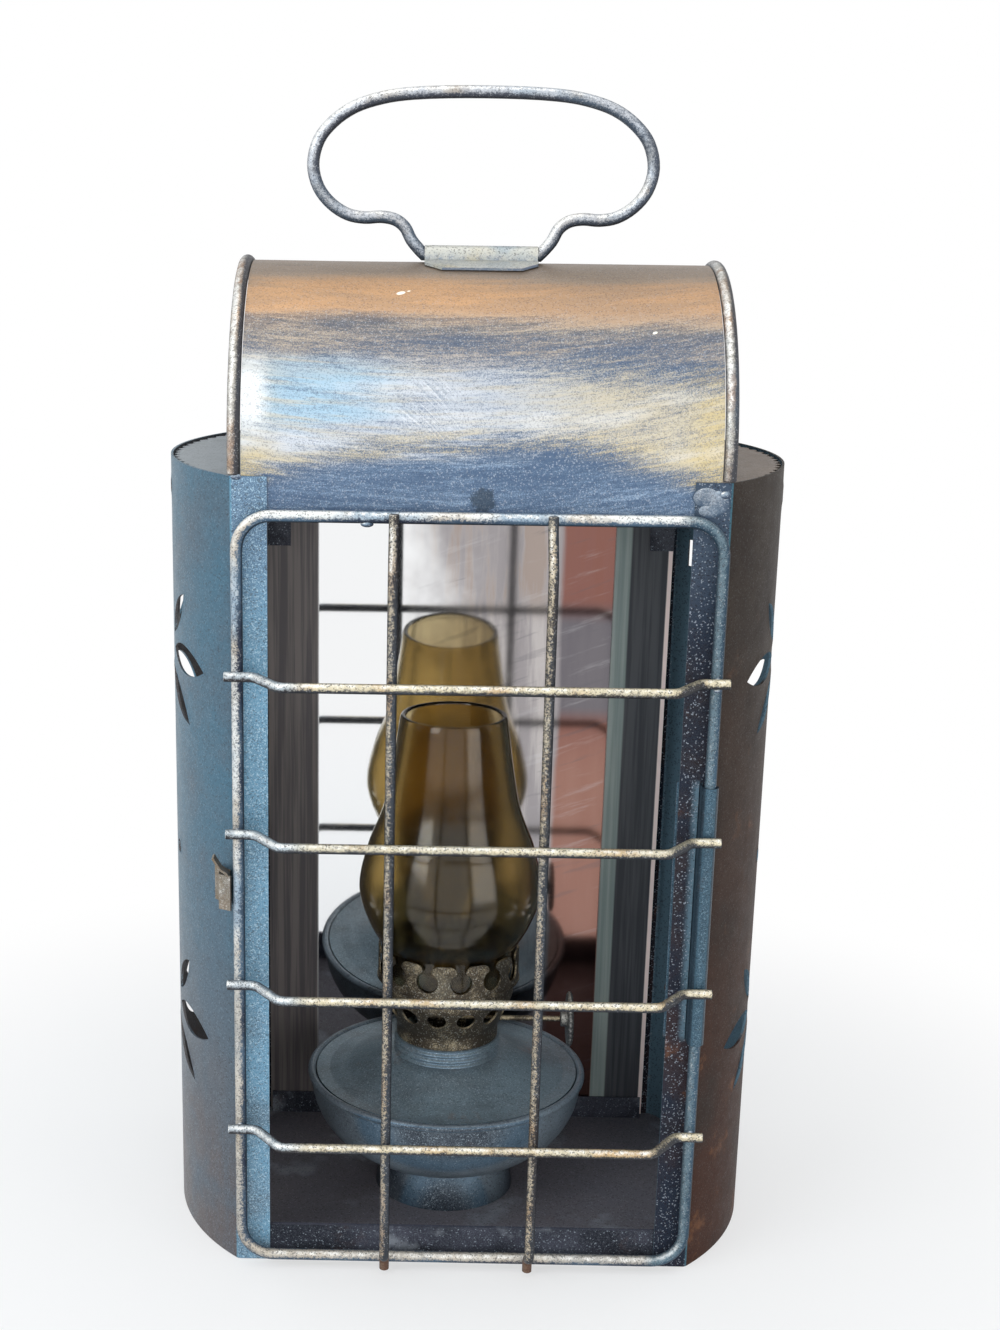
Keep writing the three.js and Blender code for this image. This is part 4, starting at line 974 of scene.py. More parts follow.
    @staticmethod
    def inside(points: np.ndarray, loop: Loop) -> np.ndarray:
        """Which points lie inside a closed loop.

        Args:
            points: Places in the plane, one in a row.
            loop: The closed loop.

        Returns:
            True or false for each point.
        """
        x, y = points[:, 0], points[:, 1]
        hit = np.zeros(len(points), bool)
        for (x0, y0), (x1, y1) in zip(loop, loop[1:] + loop[:1]):
            if y0 != y1:
                hit ^= ((y0 > y) != (y1 > y)) & (x < (x1 - x0) * (y - y0) / (y1 - y0) + x0)
        return hit

    @staticmethod
    def on_metal(points: np.ndarray, outline: Loop, holes: Sequence[Loop]) -> np.ndarray:
        """Which points lie on a cut sheet.

        Args:
            points: Places in the plane, one in a row.
            outline: Edge of the sheet.
            holes: Loops punched out of it.

        Returns:
            True or false for each point.
        """
        kept = Forge.inside(points, outline)
        for hole in holes:
            kept &= ~Forge.inside(points, hole)
        return kept

    @staticmethod
    def sheet(
        outline: Loop, holes: Sequence[Loop], columns: Iterable[float], rows: Iterable[float],
        place: Placer, thickness: float, lip: float = 0.0, merge_seam: bool = False,
    ) -> Shape:
        """Cuts a flat blank, then rolls it into place with its thickness.

        Args:
            outline: Edge of the blank, anticlockwise.
            holes: Loops punched out of it.
            columns: First coordinates of the inner points.
            rows: Second coordinates of the inner points.
            place: Gives the outer surface's point and outward normal.
            thickness: Sheet thickness, taken inward.
            lip: How far the metal rises at a punched edge.
            merge_seam: Whether the blank's two ends meet in a ring.

        Returns:
            The closed sheet.
        """
        flat: list[Vector] = []
        edges: list[tuple[int, int]] = []
        for loop in (outline, *holes):
            start = len(flat)
            flat += [Vector(p) for p in loop]
            edges += [(start + i, start + (i + 1) % len(loop)) for i in range(len(loop))]
        grid = np.array([(u, v) for u in columns for v in rows], float).reshape(-1, 2)
        rim = np.array([tuple(p) for p in flat])
        grid = grid[Forge.on_metal(grid, outline, holes)]
        flat += [Vector(p) for p in grid if np.min(np.hypot(*(rim - p).T)) > Forge.CLEARANCE]
        points, _, faces, *_ = delaunay_2d_cdt(flat, edges, [], 0, Forge.MERGE)
        middles = np.array([[sum(points[i][k] for i in f) / len(f) for k in (0, 1)] for f in faces])
        faces = [tuple(f) for f, kept in zip(faces, Forge.on_metal(middles, outline, holes)) if kept]
        hole_rim = np.array([p for hole in holes for p in hole])
        outer, inner = [], []
        for point in points:
            spot, normal = place(point[0], point[1])
            if lip and holes:
                away = float(np.min(np.hypot(hole_rim[:, 0] - point[0], hole_rim[:, 1] - point[1])))
                spot = spot + normal * lip * math.exp(-away / Forge.LIP_REACH)
            outer.append(spot)
            inner.append(spot - normal * thickness)
        made = Forge.thickened(outer, inner, faces)
        return Forge.welded(made) if merge_seam else made

    @staticmethod
    def thickened(outer: list[Vector], inner: list[Vector], faces: Faces) -> Shape:
        """Closes two skins round their free edges.

        Args:
            outer: Corners of the outer skin.
            inner: Corners of the inner skin, in the same order.
            faces: Faces of the outer skin.

        Returns:
            The closed shape.
        """
        count = len(outer)
        sides: dict[tuple[int, int], tuple[int, int]] = {}
        for face in faces:
            for a, b in zip(face, face[1:] + face[:1]):
                key = (min(a, b), max(a, b))
                sides[key] = (-1, -1) if key in sides else (a, b)
        made = Shape(outer + inner, list(faces))
        made.faces += [tuple(i + count for i in reversed(face)) for face in faces]
        made.faces += [(b, a, a + count, b + count) for a, b in sides.values() if a >= 0]
        return made

    @staticmethod
    def welded(shape: Shape, gap: float = 1e-3) -> Shape:
        """Joins corners that coincide and drops the walls that they double.

        Args:
            shape: The shape with its seam open.
            gap: Size of the cells in which corners coincide.

        Returns:
            The shape with its seam closed.
        """
        slots: dict[tuple[int, ...], int] = {}
        corners: list[Vector] = []
        index = []
        for corner in shape.corners:
            key = tuple(round(c / gap) for c in corner)
            if key not in slots:
                slots[key] = len(corners)
                corners.append(corner)
            index.append(slots[key])
        faces: Faces = []
        seen: dict[tuple[int, ...], int] = {}
        for face in shape.faces:
            new = [index[i] for i in face]
            new = tuple(v for i, v in enumerate(new) if v != new[i - 1])
            if len(new) > 2:
                key = tuple(sorted(new))
                seen[key] = seen.get(key, 0) + 1
                faces.append(new)
        return Shape(corners, [face for face in faces if seen[tuple(sorted(face))] == 1])

    @staticmethod
    def bead(centre: Vector, size: Point3, seed: int) -> Shape:
        """A small lump of solder.

        Args:
            centre: Its middle.
            size: Half sizes along X, Y and Z.
            seed: Choice of lumpiness.

        Returns:
            The bead.
        """
        draw = random.Random(seed)
        wobble = [draw.uniform(0.85, 1.12) for _ in range(7)]
        wide, deep, tall = size
        rings, sides = 8, 12
        made = Shape([centre + Vector((0, 0, tall))])
        for i in range(1, rings):
            fall = math.pi * i / rings
            reach = math.sin(fall)
            for k, (cos, sin) in enumerate(Forge.around(sides)):
                ripple = math.sin(3 * (math.tau * k / sides) + seed)
                grow = 1 + 0.1 * (wobble[(k + i) % 7] - 1) + 0.07 * ripple
                made.corners.append(centre + Vector((
                    wide * reach * cos * grow, deep * reach * sin * grow, tall * math.cos(fall))))
        made.corners.append(centre - Vector((0, 0, tall)))
        last = len(made.corners) - 1
        for k in range(sides):
            n = (k + 1) % sides
            made.faces.append((0, 1 + k, 1 + n))
            made.faces.append((last, last - sides + n, last - sides + k))
            for low in range(1, 1 + (rings - 2) * sides, sides):
                made.faces.append((low + k, low + sides + k, low + sides + n, low + n))
        return made

    @staticmethod
    def beads(lumps: Iterable[Lump], origin: Point3 = (0.0, 0.0, 0.0)) -> Shape:
        """Several lumps of solder.

        Args:
            lumps: Place from the origin, half sizes and choice of lumpiness of each.
            origin: Where the places are counted from.

        Returns:
            The lumps as one shape.
        """
        made = Shape()
        for place, size, seed in lumps:
            made.add(Forge.bead(Vector([a + b for a, b in zip(place, origin)]), size, seed))
        return made


class Rail:
    """A bent line in a plane, read by its length, with a normal at its right."""

    def __init__(self, points: Loop) -> None:
        """Measures the line through points."""
        self.points = np.array(points, float)
        steps = np.diff(self.points, axis=0)
        lengths = np.hypot(steps[:, 0], steps[:, 1])
        self.marks = np.concatenate([[0.0], np.cumsum(lengths)])
        runs = np.concatenate([lengths[:1], lengths, lengths[-1:]])[:, None]
        along = np.vstack([steps[:1], steps, steps[-1:]]) / runs
        middle = along[:-1] + along[1:]
        self.tangents = middle / np.hypot(middle[:, 0], middle[:, 1])[:, None]

    def at(self, mark: float) -> tuple[float, float, float, float]:
        """The line at one place.

        Args:
            mark: Length along the line.

        Returns:
            The point's two coordinates, then the normal's.
        """
        x, y, tx, ty = (
            float(np.interp(mark, self.marks, table[:, k]))
            for table in (self.points, self.tangents) for k in (0, 1))
        size = math.hypot(tx, ty)
        return x, y, ty / size, -tx / size

    def mark_of(self, value: float, axis: int) -> float:
        """Length at which a coordinate takes a value."""
        return float(np.interp(value, self.points[:, axis], self.marks))

    def columns(self, longest: float) -> list[float]:
        """The line's own marks, with more between them.

        Args:
            longest: Greatest length between two marks.

        Returns:
            The marks, from 0.
        """
        made = [0.0]
        for start, end in zip(self.marks, self.marks[1:]):
            made += [float(mark) for mark in spaced(start, end, longest)[1:]]
        return made


def framed(columns: Sequence[float], rows: Sequence[float]) -> Loop:
    """A rectangular blank's edge.

    Args:
        columns: First coordinates of its points.
        rows: Second coordinates of its points.

    Returns:
        The edge, anticlockwise, with a point at each column and row.
    """
    low = [(u, rows[0]) for u in columns]
    right = [(columns[-1], v) for v in rows[1:]]
    high = [(u, rows[-1]) for u in reversed(columns[:-1])]
    left = [(columns[0], v) for v in reversed(rows[1:-1])]
    return low + right + high + left


def spaced(start: float, end: float, longest: float) -> list[float]:
    """Even places from start to end, none further apart than longest."""
    count = max(1, math.ceil((end - start) / longest))
    return [start + (end - start) * i / count for i in range(count + 1)]


def placed(name: str, data: bpy.types.ID) -> bpy.types.Object:
    """Puts a mesh, a lamp or a camera in the scene."""
    made = bpy.data.objects.new(name, data)
    bpy.context.scene.collection.objects.link(made)
    return made


def show(
    name: str, shape: Shape, finish: Finish, body: Body, slot: str, *stands_for: str, crease: float = 38.0,
) -> None:
    """Puts a shape in the scene as a piece of the lantern.

    Args:
        name: Name of the piece.
        shape: Its corners and faces, in millimetres.
        finish: Its finish.
        body: Body that it rides on.
        slot: Material slot that it would take its finish from; not used.
        stands_for: Frame nodes that it replaces.
        crease: Angle over which an edge stays sharp, in degrees.
    """
    mesh = bpy.data.meshes.new(name)
    mesh.from_pydata([tuple(corner * MM) for corner in shape.corners], [], shape.faces)
    mesh.validate()
    mesh.update()
    mesh.shade_smooth()
    mesh.set_sharp_from_angle(angle=math.radians(crease))
    mesh.materials.append(finish.material())
    piece = placed(name, mesh)
    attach(piece, body.value)
    if stands_for:
        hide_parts(*stands_for)
    LOG.info("made %s: %d corners on %s", name, len(shape.corners), body.value)


def dress(node: str, finish: Finish, bevel: float = 0.0) -> None:
    """Gives a frame node its finish and softened edges.

    Args:
        node: Name of the frame node.
        finish: Its finish.
        bevel: Width of the softened edges, in millimetres.
    """
    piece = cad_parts[node]
    piece.data.materials.clear()
    piece.data.materials.append(finish.material())
    if bevel:
        soft = piece.modifiers.new("softened", "BEVEL")
        soft.width = bevel * MM
        soft.segments = 2
        soft.limit_method = "ANGLE"
        soft.angle_limit = math.radians(40)
    LOG.info("dressed %s", node)


# Sub-assemblies


@dataclass
class PunchedCase:
    """Bowed side walls with punched flowers, floor, front rail and back panel."""

    depth: float = 110.0
    height: float = 250.0
    face_width: float = 142.4
    bulge: float = 23.0
    sheet: float = 0.7
    opening_width: float = 122.0
    fold: float = 0.9
    lip: float = 0.22
    flower_reach: float = 38.0
    flower_offset: float = -5.5
    flower_heights: Point2 = (71.5, 190.0)
    pin_hole: float = 4.5
    pins: tuple[Point2, ...] = ((20.0, 127.0), (14.0, 241.0))
    corner_hole: float = 6.0
    corner_depth: float = 48.5
    corner_low: float = 52.0
    corner_slot: Point2 = (206.0, 215.0)
    slit: tuple[float, float, float, float] = (66.85, 67.85, 78.75, 161.25)
    leaf_shares: tuple[tuple[float, ...], ...] = (
        (0.3, 0.16, 0.66, 0.54, 0.17),
        (0.34, 0.04, 1.0, -0.02, 0.23),
        (0.2, -0.12, 0.76, -0.51, 0.165),
    )

    @property
    def radius(self) -> float:
        """Radius of the bowed side."""
        return ((self.depth / 2) ** 2 + self.bulge ** 2) / (2 * self.bulge)

    @property
    def centre(self) -> float:
        """Distance of the bow's centre from the middle."""
        return self.face_width / 2 + self.bulge - self.radius

    def plan(self) -> Rail:
        """The right wall's outer line in plan, from front flange to rear flange."""
        half = self.depth / 2
        sweep = math.degrees(math.asin(half / self.radius))
        reach = math.degrees(self.fold / self.radius)
        bow = Forge.arc(self.centre, 0, self.radius, -sweep + reach, sweep - reach, 64)
        corner = Vector((self.face_width / 2, -half))
        start, end = Vector((self.face_width / 2 - self.fold, -half)), Vector(bow[0])
        fold = []
        for share in (i / 6 for i in range(7)):
            point = start.lerp(corner, share).lerp(corner.lerp(end, share), share)
            fold.append((point.x, point.y))
        rear = [(x, -y) for x, y in reversed(fold)]
        edge = self.opening_width / 2
        return Rail([(edge, -half), *fold[:-1], *bow, *rear[1:], (edge, half)])

    @staticmethod
    def leaf(start: Point2, end: Point2, width: float) -> Loop:
        """One pointed leaf between two tips, from two arcs.

        Args:
            start: Its first tip, as depth and height.
            end: Its second tip.
            width: Its greatest width.

        Returns:
            The leaf's edge.
        """
        run, climb = end[0] - start[0], end[1] - start[1]
        length = math.hypot(run, climb)
        radius = ((length / 2) ** 2 + (width / 2) ** 2) / width
        half = math.degrees(math.asin(length / 2 / radius))
        drop = radius - width / 2
        upper = Forge.arc(length / 2, -drop, radius, 90 + half, 90 - half, 14)
        lower = Forge.arc(length / 2, drop, radius, -90 + half, -90 - half, 14)
        turn = math.atan2(climb, run)
        cos, sin = math.cos(turn), math.sin(turn)
        return [(start[0] + x * cos - y * sin, start[1] + x * sin + y * cos) for x, y in upper + lower[1:-1]]

    def punches(self, side: Side) -> list[Loop]:
        """Every hole of one wall.

        Args:
            side: Which wall.

        Returns:
            The holes, as loops of depth and height.
        """
        made, middle = [], self.flower_offset
        for height in self.flower_heights:
            for end in (-1, 1):
                for shares in self.leaf_shares:
                    y0, z0, y1, z1, width = (share * self.flower_reach for share in shares)
                    tips = (middle + end * y0, height + z0), (middle + end * y1, height + z1)
                    made.append(self.leaf(*tips, width))
        for depth, height in self.pins:
            made += [Forge.ring(end * depth, height, self.pin_hole / 2, 20) for end in (-1, 1)]
        if side is Side.RIGHT:
            half = self.corner_hole / 2
            made.append(Forge.ring(self.corner_depth, self.corner_low, half, 20))
            width = spaced(self.corner_depth - half, self.corner_depth + half, 1.5)
            made.append(framed(width, spaced(*self.corner_slot, 1.5)))
        return made

    def wall(self, side: Side) -> Shape:
        """One bowed wall with its folded flanges and punched holes.

        Args:
            side: Which wall.

        Returns:
            The wall, which is the right one mirrored for the left.
        """
        rail = self.plan()
        holes = [[(rail.mark_of(y, 1), z) for y, z in hole] for hole in self.punches(side)]
        if side is Side.RIGHT:
            near, far, low, high = self.slit
            edge = self.opening_width / 2
            holes.append(framed(spaced(near - edge, far - edge, 0.5), spaced(low, high, 2.0)))
        columns, rows = rail.columns(1.8), spaced(0, self.height, 2.6)

        def place(mark: float, height: float) -> Spot:
            """Rolls the blank to the wall's bow."""
            x, y, nx, ny = rail.at(mark)
            return Vector((x, y, height)), Vector((nx, ny, 0))

        made = Forge.sheet(framed(columns, rows), holes, columns, rows, place, self.sheet, self.lip)
        if side is Side.RIGHT:
            return made
        return Shape([Vector((-c.x, c.y, c.z)) for c in made.corners], made.faces).flipped()

    def make(self) -> None:
        """Makes the case."""
        finishes = ((Finish.WALL_LEFT, "case_sheet"), (Finish.WALL_RIGHT, "case_sheet_brown"))
        for side, (finish, slot) in zip(Side, finishes):
            name, node = f"punched_wall_{side.word}", f"side_wall_{side.word}"
            show(name, self.wall(side), finish, Body.CASE, slot, node, crease=30)
        dress("floor_plate", Finish.FLOOR)
        dress("bottom_rail", Finish.INSIDE, 0.2)
        dress("back_panel", Finish.WALL_RIGHT)
        dress("cap_plate_left", Finish.CAP_LEFT)
        dress("cap_plate_right", Finish.CAP_RIGHT)


@dataclass
class BarrelHood:
    """Barrel hood with its front band, bead wires, vented ends and handle clip."""

    case: PunchedCase
    spring: float = 253.0
    length: float = 137.0
    band_bottom: float = 240.0
    rim_wire: float = 3.8
    rim_gap: float = 0.2
    end_inset: float = 1.5
    end_overlap: float = 0.6
    vent: float = 6.0
    vent_ring: float = 30.0
    vent_count: int = 5
    clip_width: float = 34.0
    clip_reach: float = 14.0
    clip_chamfer: float = 5.0
    wire: float = 3.7
    gap: float = 0.3
    lumps: tuple[Lump, ...] = (
        ((64.2, 0.0, -4.2), (3.6, 0.22, 2.8), 5),
        ((67.4, 0.0, -5.8), (3.0, 0.26, 3.6), 2),
        ((65.6, 0.0, -8.0), (3.4, 0.2, 2.0), 4),
        ((69.4, -0.1, -3.4), (1.5, 0.55, 1.1), 8),
        ((-69.8, 0.1, -0.2), (1.6, 0.5, 0.9), 3),
    )

    @property
    def outer(self) -> float:
        """Outer radius of the barrel."""
        return self.case.depth / 2 - self.case.sheet

    @property
    def pivot(self) -> float:
        """Height of the handle's axis."""
        return self.spring + self.outer + self.gap + self.wire / 2

    def arch(self, radius: float, foot: float, steps: int) -> Loop:
        """The barrel's line at a radius, from one foot over the top to the other."""
        return [(-radius, foot), *Forge.arc(0, self.spring, radius, 180, 0, steps), (radius, foot)]

    def barrel(self) -> Shape:
        """The hood sheet, skirts included."""
        rail = Rail(self.arch(self.outer, self.band_bottom, 120))
        columns, rows = rail.columns(3.0), spaced(-self.length / 2, self.length / 2, 4.0)

        def place(mark: float, across: float) -> Spot:
            """Rolls the blank over the barrel, with faint waves."""
            y, z, ny, nz = rail.at(mark)
            wave = 0.1 * math.sin(mark / 17 + across / 23) + 0.07 * math.sin(across / 11 - mark / 29)
            share = max(0.0, 1 - abs(across) / (self.length / 2)) ** 0.5
            drop = min(wave, 0) * share
            return Vector((across, y - ny * drop, z - nz * drop)), Vector((0, -ny, -nz))

        return Forge.sheet(framed(columns, rows), [], columns, rows, place, self.case.sheet).flipped()

    def rim(self, side: Side) -> Shape:
        """One bead wire round the hood's end."""
        x = side.value * (self.length / 2 + self.rim_gap + self.rim_wire / 2)
        line = self.arch(self.outer - self.case.sheet / 2, self.case.height + self.gap, 60)
        return Forge.sweep([Vector((x, y, z)) for y, z in line], self.rim_wire / 2, 18)

    def end_plate(self, side: Side) -> Shape:
        """One vented end plate, standing on the cap.

        Args:
            side: Which end.

        Returns:
            The plate.
        """
        radius = self.outer - self.case.sheet - self.gap
        foot = self.case.height - self.end_overlap
        base = [(y, foot) for y in spaced(-radius, radius, 6.0)]
        outline = [*base, *Forge.arc(0, self.spring, radius, 0, 180, 60)]
        holes = []
        for i in range(self.vent_count):
            angle = math.radians(180 * (i + 1) / (self.vent_count + 1))
            y, z = self.vent_ring * math.cos(angle), self.spring + self.vent_ring * math.sin(angle)
            holes.append(Forge.ring(y, z, self.vent / 2, 24))
        x = side.value * (self.length / 2 - self.end_inset)
        outward = Vector((side.value, 0, 0))
        made = Forge.sheet(
            outline, holes, spaced(-radius, radius, 5.0), spaced(foot, self.spring + radius, 5.0),
            lambda y, z: (Vector((x, y, z)), outward), self.case.sheet)
        return made.flipped() if side is Side.LEFT else made

    def solder(self) -> Shape:
        """Solder that joins the hood's right end to the wall, and a blob at the left."""
        return Forge.beads(self.lumps, (0.0, -self.case.depth / 2, self.case.height))

    def clip(self) -> Shape:
        """The folded clip: a barrel over the wire and two chamfered feet."""
        under = self.outer + self.gap
        inner = self.wire / 2 + self.gap
        reach = math.degrees(math.asin(self.clip_reach / under))

        def skin(radius: float, roll: float) -> Loop:
            """One skin seen from the side, from foot to foot."""
            neck = math.degrees(math.asin(roll / radius))
            return [
                *Forge.arc(0, self.spring, radius, 90 - reach, 90 - neck, 12),
                *Forge.arc(0, self.pivot, roll, 0, 180, 18),
                *Forge.arc(0, self.spring, radius, 90 + neck, 90 + reach, 12),
            ]

        def width(y: float) -> float:
            """Half width of the clip at a depth, drawn in at the chamfers."""
            return self.clip_width / 2 - max(0.0, abs(y) - (self.clip_reach - self.clip_chamfer))

        made = Shape()
        for loop in (skin(under, inner), skin(under + self.case.sheet, inner + self.case.sheet)):
            for sign in (-1, 1):
                made.corners += [Vector((sign * width(y), y, z)) for y, z in loop]
        n = len(made.corners) // 4
        for i in range(n - 1):
            bl, br, al, ar = (i + k * n for k in range(4))
            made.faces += [(bl, bl + 1, br + 1, br), (al, ar, ar + 1, al + 1)]
            made.faces += [(bl, al, al + 1, bl + 1), (br, br + 1, ar + 1, ar)]
        made.faces += [(0, n, 3 * n, 2 * n), (n - 1, 3 * n - 1, 4 * n - 1, 2 * n - 1)]
        return made

    def make(self) -> None:
        """Makes the hood."""
        show("hood_barrel", self.barrel(), Finish.HOOD, Body.CASE, "hood_sheet", "hood_sheet", crease=50)
        for side in Side:
            name, node = f"rim_bead_{side.word}", f"hood_rim_{side.word}"
            show(name, self.rim(side), Finish.RIM, Body.CASE, "wire", node)
            name, node = f"vented_end_{side.word}", f"hood_end_{side.word}"
            show(name, self.end_plate(side), Finish.WALL_RIGHT, Body.CASE, "case_sheet_brown", node)
        show("corner_solder", self.solder(), Finish.SOLDER, Body.CASE, "hood_sheet")
        show("folded_clip", self.clip(), Finish.CLIP, Body.CASE, "hood_sheet", "handle_clip", crease=45)


@dataclass
class MirrorBack:
    """The mirror with its floor channel and top tabs."""

    soft: float = 0.15

    def make(self) -> None:
        """Dresses the mirror and what holds it."""
        dress("mirror_glass", Finish.MIRROR)
        for node in ("mirror_channel", "mirror_tab_left", "mirror_tab_right"):
            dress(node, Finish.INSIDE, self.soft)


@dataclass
class GuardDoor:
    """The wire guard that swings as a door, with its sleeve and catch."""

    case: PunchedCase
    frame_wire: float = 3.5
    bar_wire: float = 3.0
    weld: float = 0.2
    gap: float = 0.3
    standoff: float = 3.8
    inset: float = 1.6
    bottom: float = 4.0
    top: float = 239.4
    corner: float = 10.0
    first_bar: float = 49.0
    pitch: float = 48.0
    bars: int = 4
    stub: float = 3.6
    crank_inset: float = 5.0
    crank_run: float = 8.0
    crank_rise: float = 12.0
    crank_bend: float = 4.0
    upright_places: Point2 = (-24.5, 20.5)
    upright_stub: float = 2.5
    top_crank: float = 12.0
    foot_crank: float = 5.0
    upright_bend: float = 2.5
    sleeve_sheet: float = 0.5
    sleeve_clearance: float = 0.25
    sleeve_bottom: float = 79.0
    sleeve_length: float = 82.0
    sleeve_tail: float = 7.0
    catch_bottom: float = 120.0
    catch_height: float = 11.0
    catch_lap: float = 7.0
    catch_lip: float = 5.4
    catch_bend: float = 0.5
    tab_depth: float = 4.0
    tab: tuple[Point2, ...] = ((-72.7, 130.4), (-73.4, 131.6), (-75.2, 132.8), (-77.4, 136.4))

    @property
    def axis(self) -> Point2:
        """Plan place of the hinge axis."""
        return self.case.face_width / 2 - self.inset, -self.case.depth / 2 - self.standoff

    @property
    def seat(self) -> float:
        """Depth at which a bar's end rests on the frame wire."""
        return self.axis[1] - self.frame_wire / 2 - self.weld - self.bar_wire / 2

    @property
    def sleeve_radius(self) -> float:
        """Middle radius of the rolled sleeve."""
        return self.frame_wire / 2 + self.sleeve_clearance + self.sleeve_sheet / 2

    @property
    def bar_heights(self) -> list[float]:
        """Heights of the bars, from the lowest."""
        return [self.first_bar + i * self.pitch for i in range(self.bars)]

    def sleeved(self, height: float) -> bool:
        """Whether a bar at a height passes in front of the sleeve."""
        return -self.bar_wire < height - self.sleeve_bottom < self.sleeve_length + self.bar_wire

    def frame_shape(self) -> Shape:
        """The door's outer wire, butted behind the left upright."""
        side, y = self.axis
        seam, butt = self.upright_places[0], self.weld / 2
        line = [
            (seam + butt, self.bottom), (side, self.bottom), (side, self.top),
            (-side, self.top), (-side, self.bottom), (seam - butt, self.bottom),
        ]
        return Forge.cranked([Vector((x, y, z)) for x, z in line], self.corner, self.frame_wire / 2, 20)

    def bar_shape(self, height: float) -> Shape:
        """One cranked bar, seated on the frame or in front of the sleeve.

        Args:
            height: Its height.

        Returns:
            The bar.
        """
        side = self.axis[0]
        end, outer = side + self.stub, side - self.crank_inset
        inner = outer - self.crank_run
        main, right = self.seat - self.crank_rise, self.seat
        if self.sleeved(height):
            right = self.axis[1] - self.sleeve_radius - self.sleeve_sheet / 2 - self.gap - self.bar_wire / 2
        left = [(-end, self.seat), (-outer, self.seat), (-inner, main)]
        corners = [Vector((x, y, height)) for x, y in (*left, (inner, main), (outer, right), (end, right))]
        return Forge.cranked(corners, self.crank_bend, self.bar_wire / 2, 18)

    def upright_shape(self, x: float) -> Shape:
        """One upright, cranked at its top and foot behind the bars.

        Args:
            x: Its place along X.

        Returns:
            The upright.
        """
        main = self.seat - self.crank_rise + self.bar_wire + self.weld
        top, foot = self.top - self.frame_wire / 2, self.bottom + self.frame_wire / 2
        line = [
            (self.seat, self.top + self.bar_wire / 2), (self.seat, top), (main, top - self.top_crank),
            (main, foot + self.foot_crank), (self.seat, foot), (self.seat, self.bottom - self.upright_stub),
        ]
        return Forge.cranked([Vector((x, y, z)) for y, z in line], self.upright_bend, self.bar_wire / 2, 18)

    def beads(self) -> Shape:
        """Solder where bars and uprights meet the frame and each other."""
        side, y = self.axis
        touch = y - self.frame_wire / 2 - self.weld / 2
        cross = self.seat - self.crank_rise + self.bar_wire / 2 + self.weld / 2
        lumps: list[Lump] = []
        for i, height in enumerate(self.bar_heights):
            for sign in (-1,) if self.sleeved(height) else (-1, 1):
                lumps.append(((sign * side, touch, height), (1.25, 0.9, 1.5), 3 * i + sign + 2))
            for k, x in enumerate(self.upright_places):
                lumps.append(((x, cross, height), (1.0, 0.7, 1.0), 40 + 2 * i + k))
        for k, x in enumerate(self.upright_places):
            for height in (self.top, self.bottom):
                lumps.append(((x, touch, height), (1.35, 0.9, 1.3), int(height) + k))
        lumps.append(((-32.2, y - 0.4, self.top - 1.9), (1.9, 1.0, 0.9), 6))
        lumps.append(((side + 0.2, touch + 0.4, self.bar_heights[-1] - 2.4), (1.3, 0.8, 0.7), 7))
        return Forge.beads(lumps)

    def sleeve_shape(self) -> Shape:
        """The strip rolled round the hinge wire, with its tail inside the wall."""
        x, y = self.axis
        tail = x - self.sleeve_radius
        inside = -self.case.depth / 2 + self.case.sheet + self.gap + self.sleeve_sheet / 2
        line = [
            (tail - self.sleeve_tail, inside), (tail - 0.8, inside), (tail - 0.25, inside - 0.2),
            (tail, inside - 0.8), (tail, y - 0.001), *Forge.arc(x, y, self.sleeve_radius, 184, 480, 60),
        ]
        outline = Forge.strip(line, self.sleeve_sheet)
        return Forge.prism(outline, self.sleeve_bottom, self.sleeve_bottom + self.sleeve_length)

    def catch_shape(self) -> Shape:
        """The sprung catch: lapped on the wall, elbowed out, lipped to the wire."""
        sheet = self.case.sheet
        radius = self.case.radius + self.gap + sheet / 2
        start = math.degrees(math.asin((self.case.depth / 2 - sheet) / radius))
        sweep = math.degrees(self.catch_lap / radius)
        lap = Forge.arc(self.case.centre, 0, radius, -start + sweep, -start, 10)
        fold_x, fold_y = lap[-1]
        wire_side = self.axis[0] + self.frame_wire / 2 + self.gap + sheet / 2
        front = fold_y - self.catch_lip
        bends = [lap[-1], (fold_x, fold_y - 0.3), (wire_side + 3.8, fold_y - 3.4), (wire_side, front)]
        soft = Forge.bent([Vector((*p, 0)) for p in bends], self.catch_bend, 12)
        line = lap[:-1] + [(p.x, p.y) for p in soft]
        outline = [(-px, py) for px, py in reversed(Forge.strip(line, sheet))]
        made = Forge.prism(outline, self.catch_bottom, self.catch_bottom + self.catch_height)
        tab = Forge.prism(Forge.strip(list(self.tab), sheet), -front - self.tab_depth, -front)
        return made.add(tab.turned(90, "X"))

    def make(self) -> None:
        """Makes the guard, its sleeve and its catch."""
        show("door_wire", self.frame_shape(), Finish.GUARD, Body.DOOR, "wire", "guard_frame")
        for i, height in enumerate(self.bar_heights, 1):
            show(f"cranked_bar_{i}", self.bar_shape(height), Finish.BARS, Body.DOOR, "wire", f"guard_bar_{i}")
        for side, x in zip(Side, self.upright_places):
            name, node = f"cranked_upright_{side.word}", f"guard_upright_{side.word}"
            show(name, self.upright_shape(x), Finish.UPRIGHTS, Body.DOOR, "wire", node)
        show("guard_solder", self.beads(), Finish.SOLDER, Body.DOOR, "wire")
        show("rolled_sleeve", self.sleeve_shape(), Finish.SLEEVE, Body.CASE, "case_sheet", "hinge_sleeve")
        show("sprung_catch", self.catch_shape(), Finish.CATCH, Body.CASE, "catch", "door_catch")


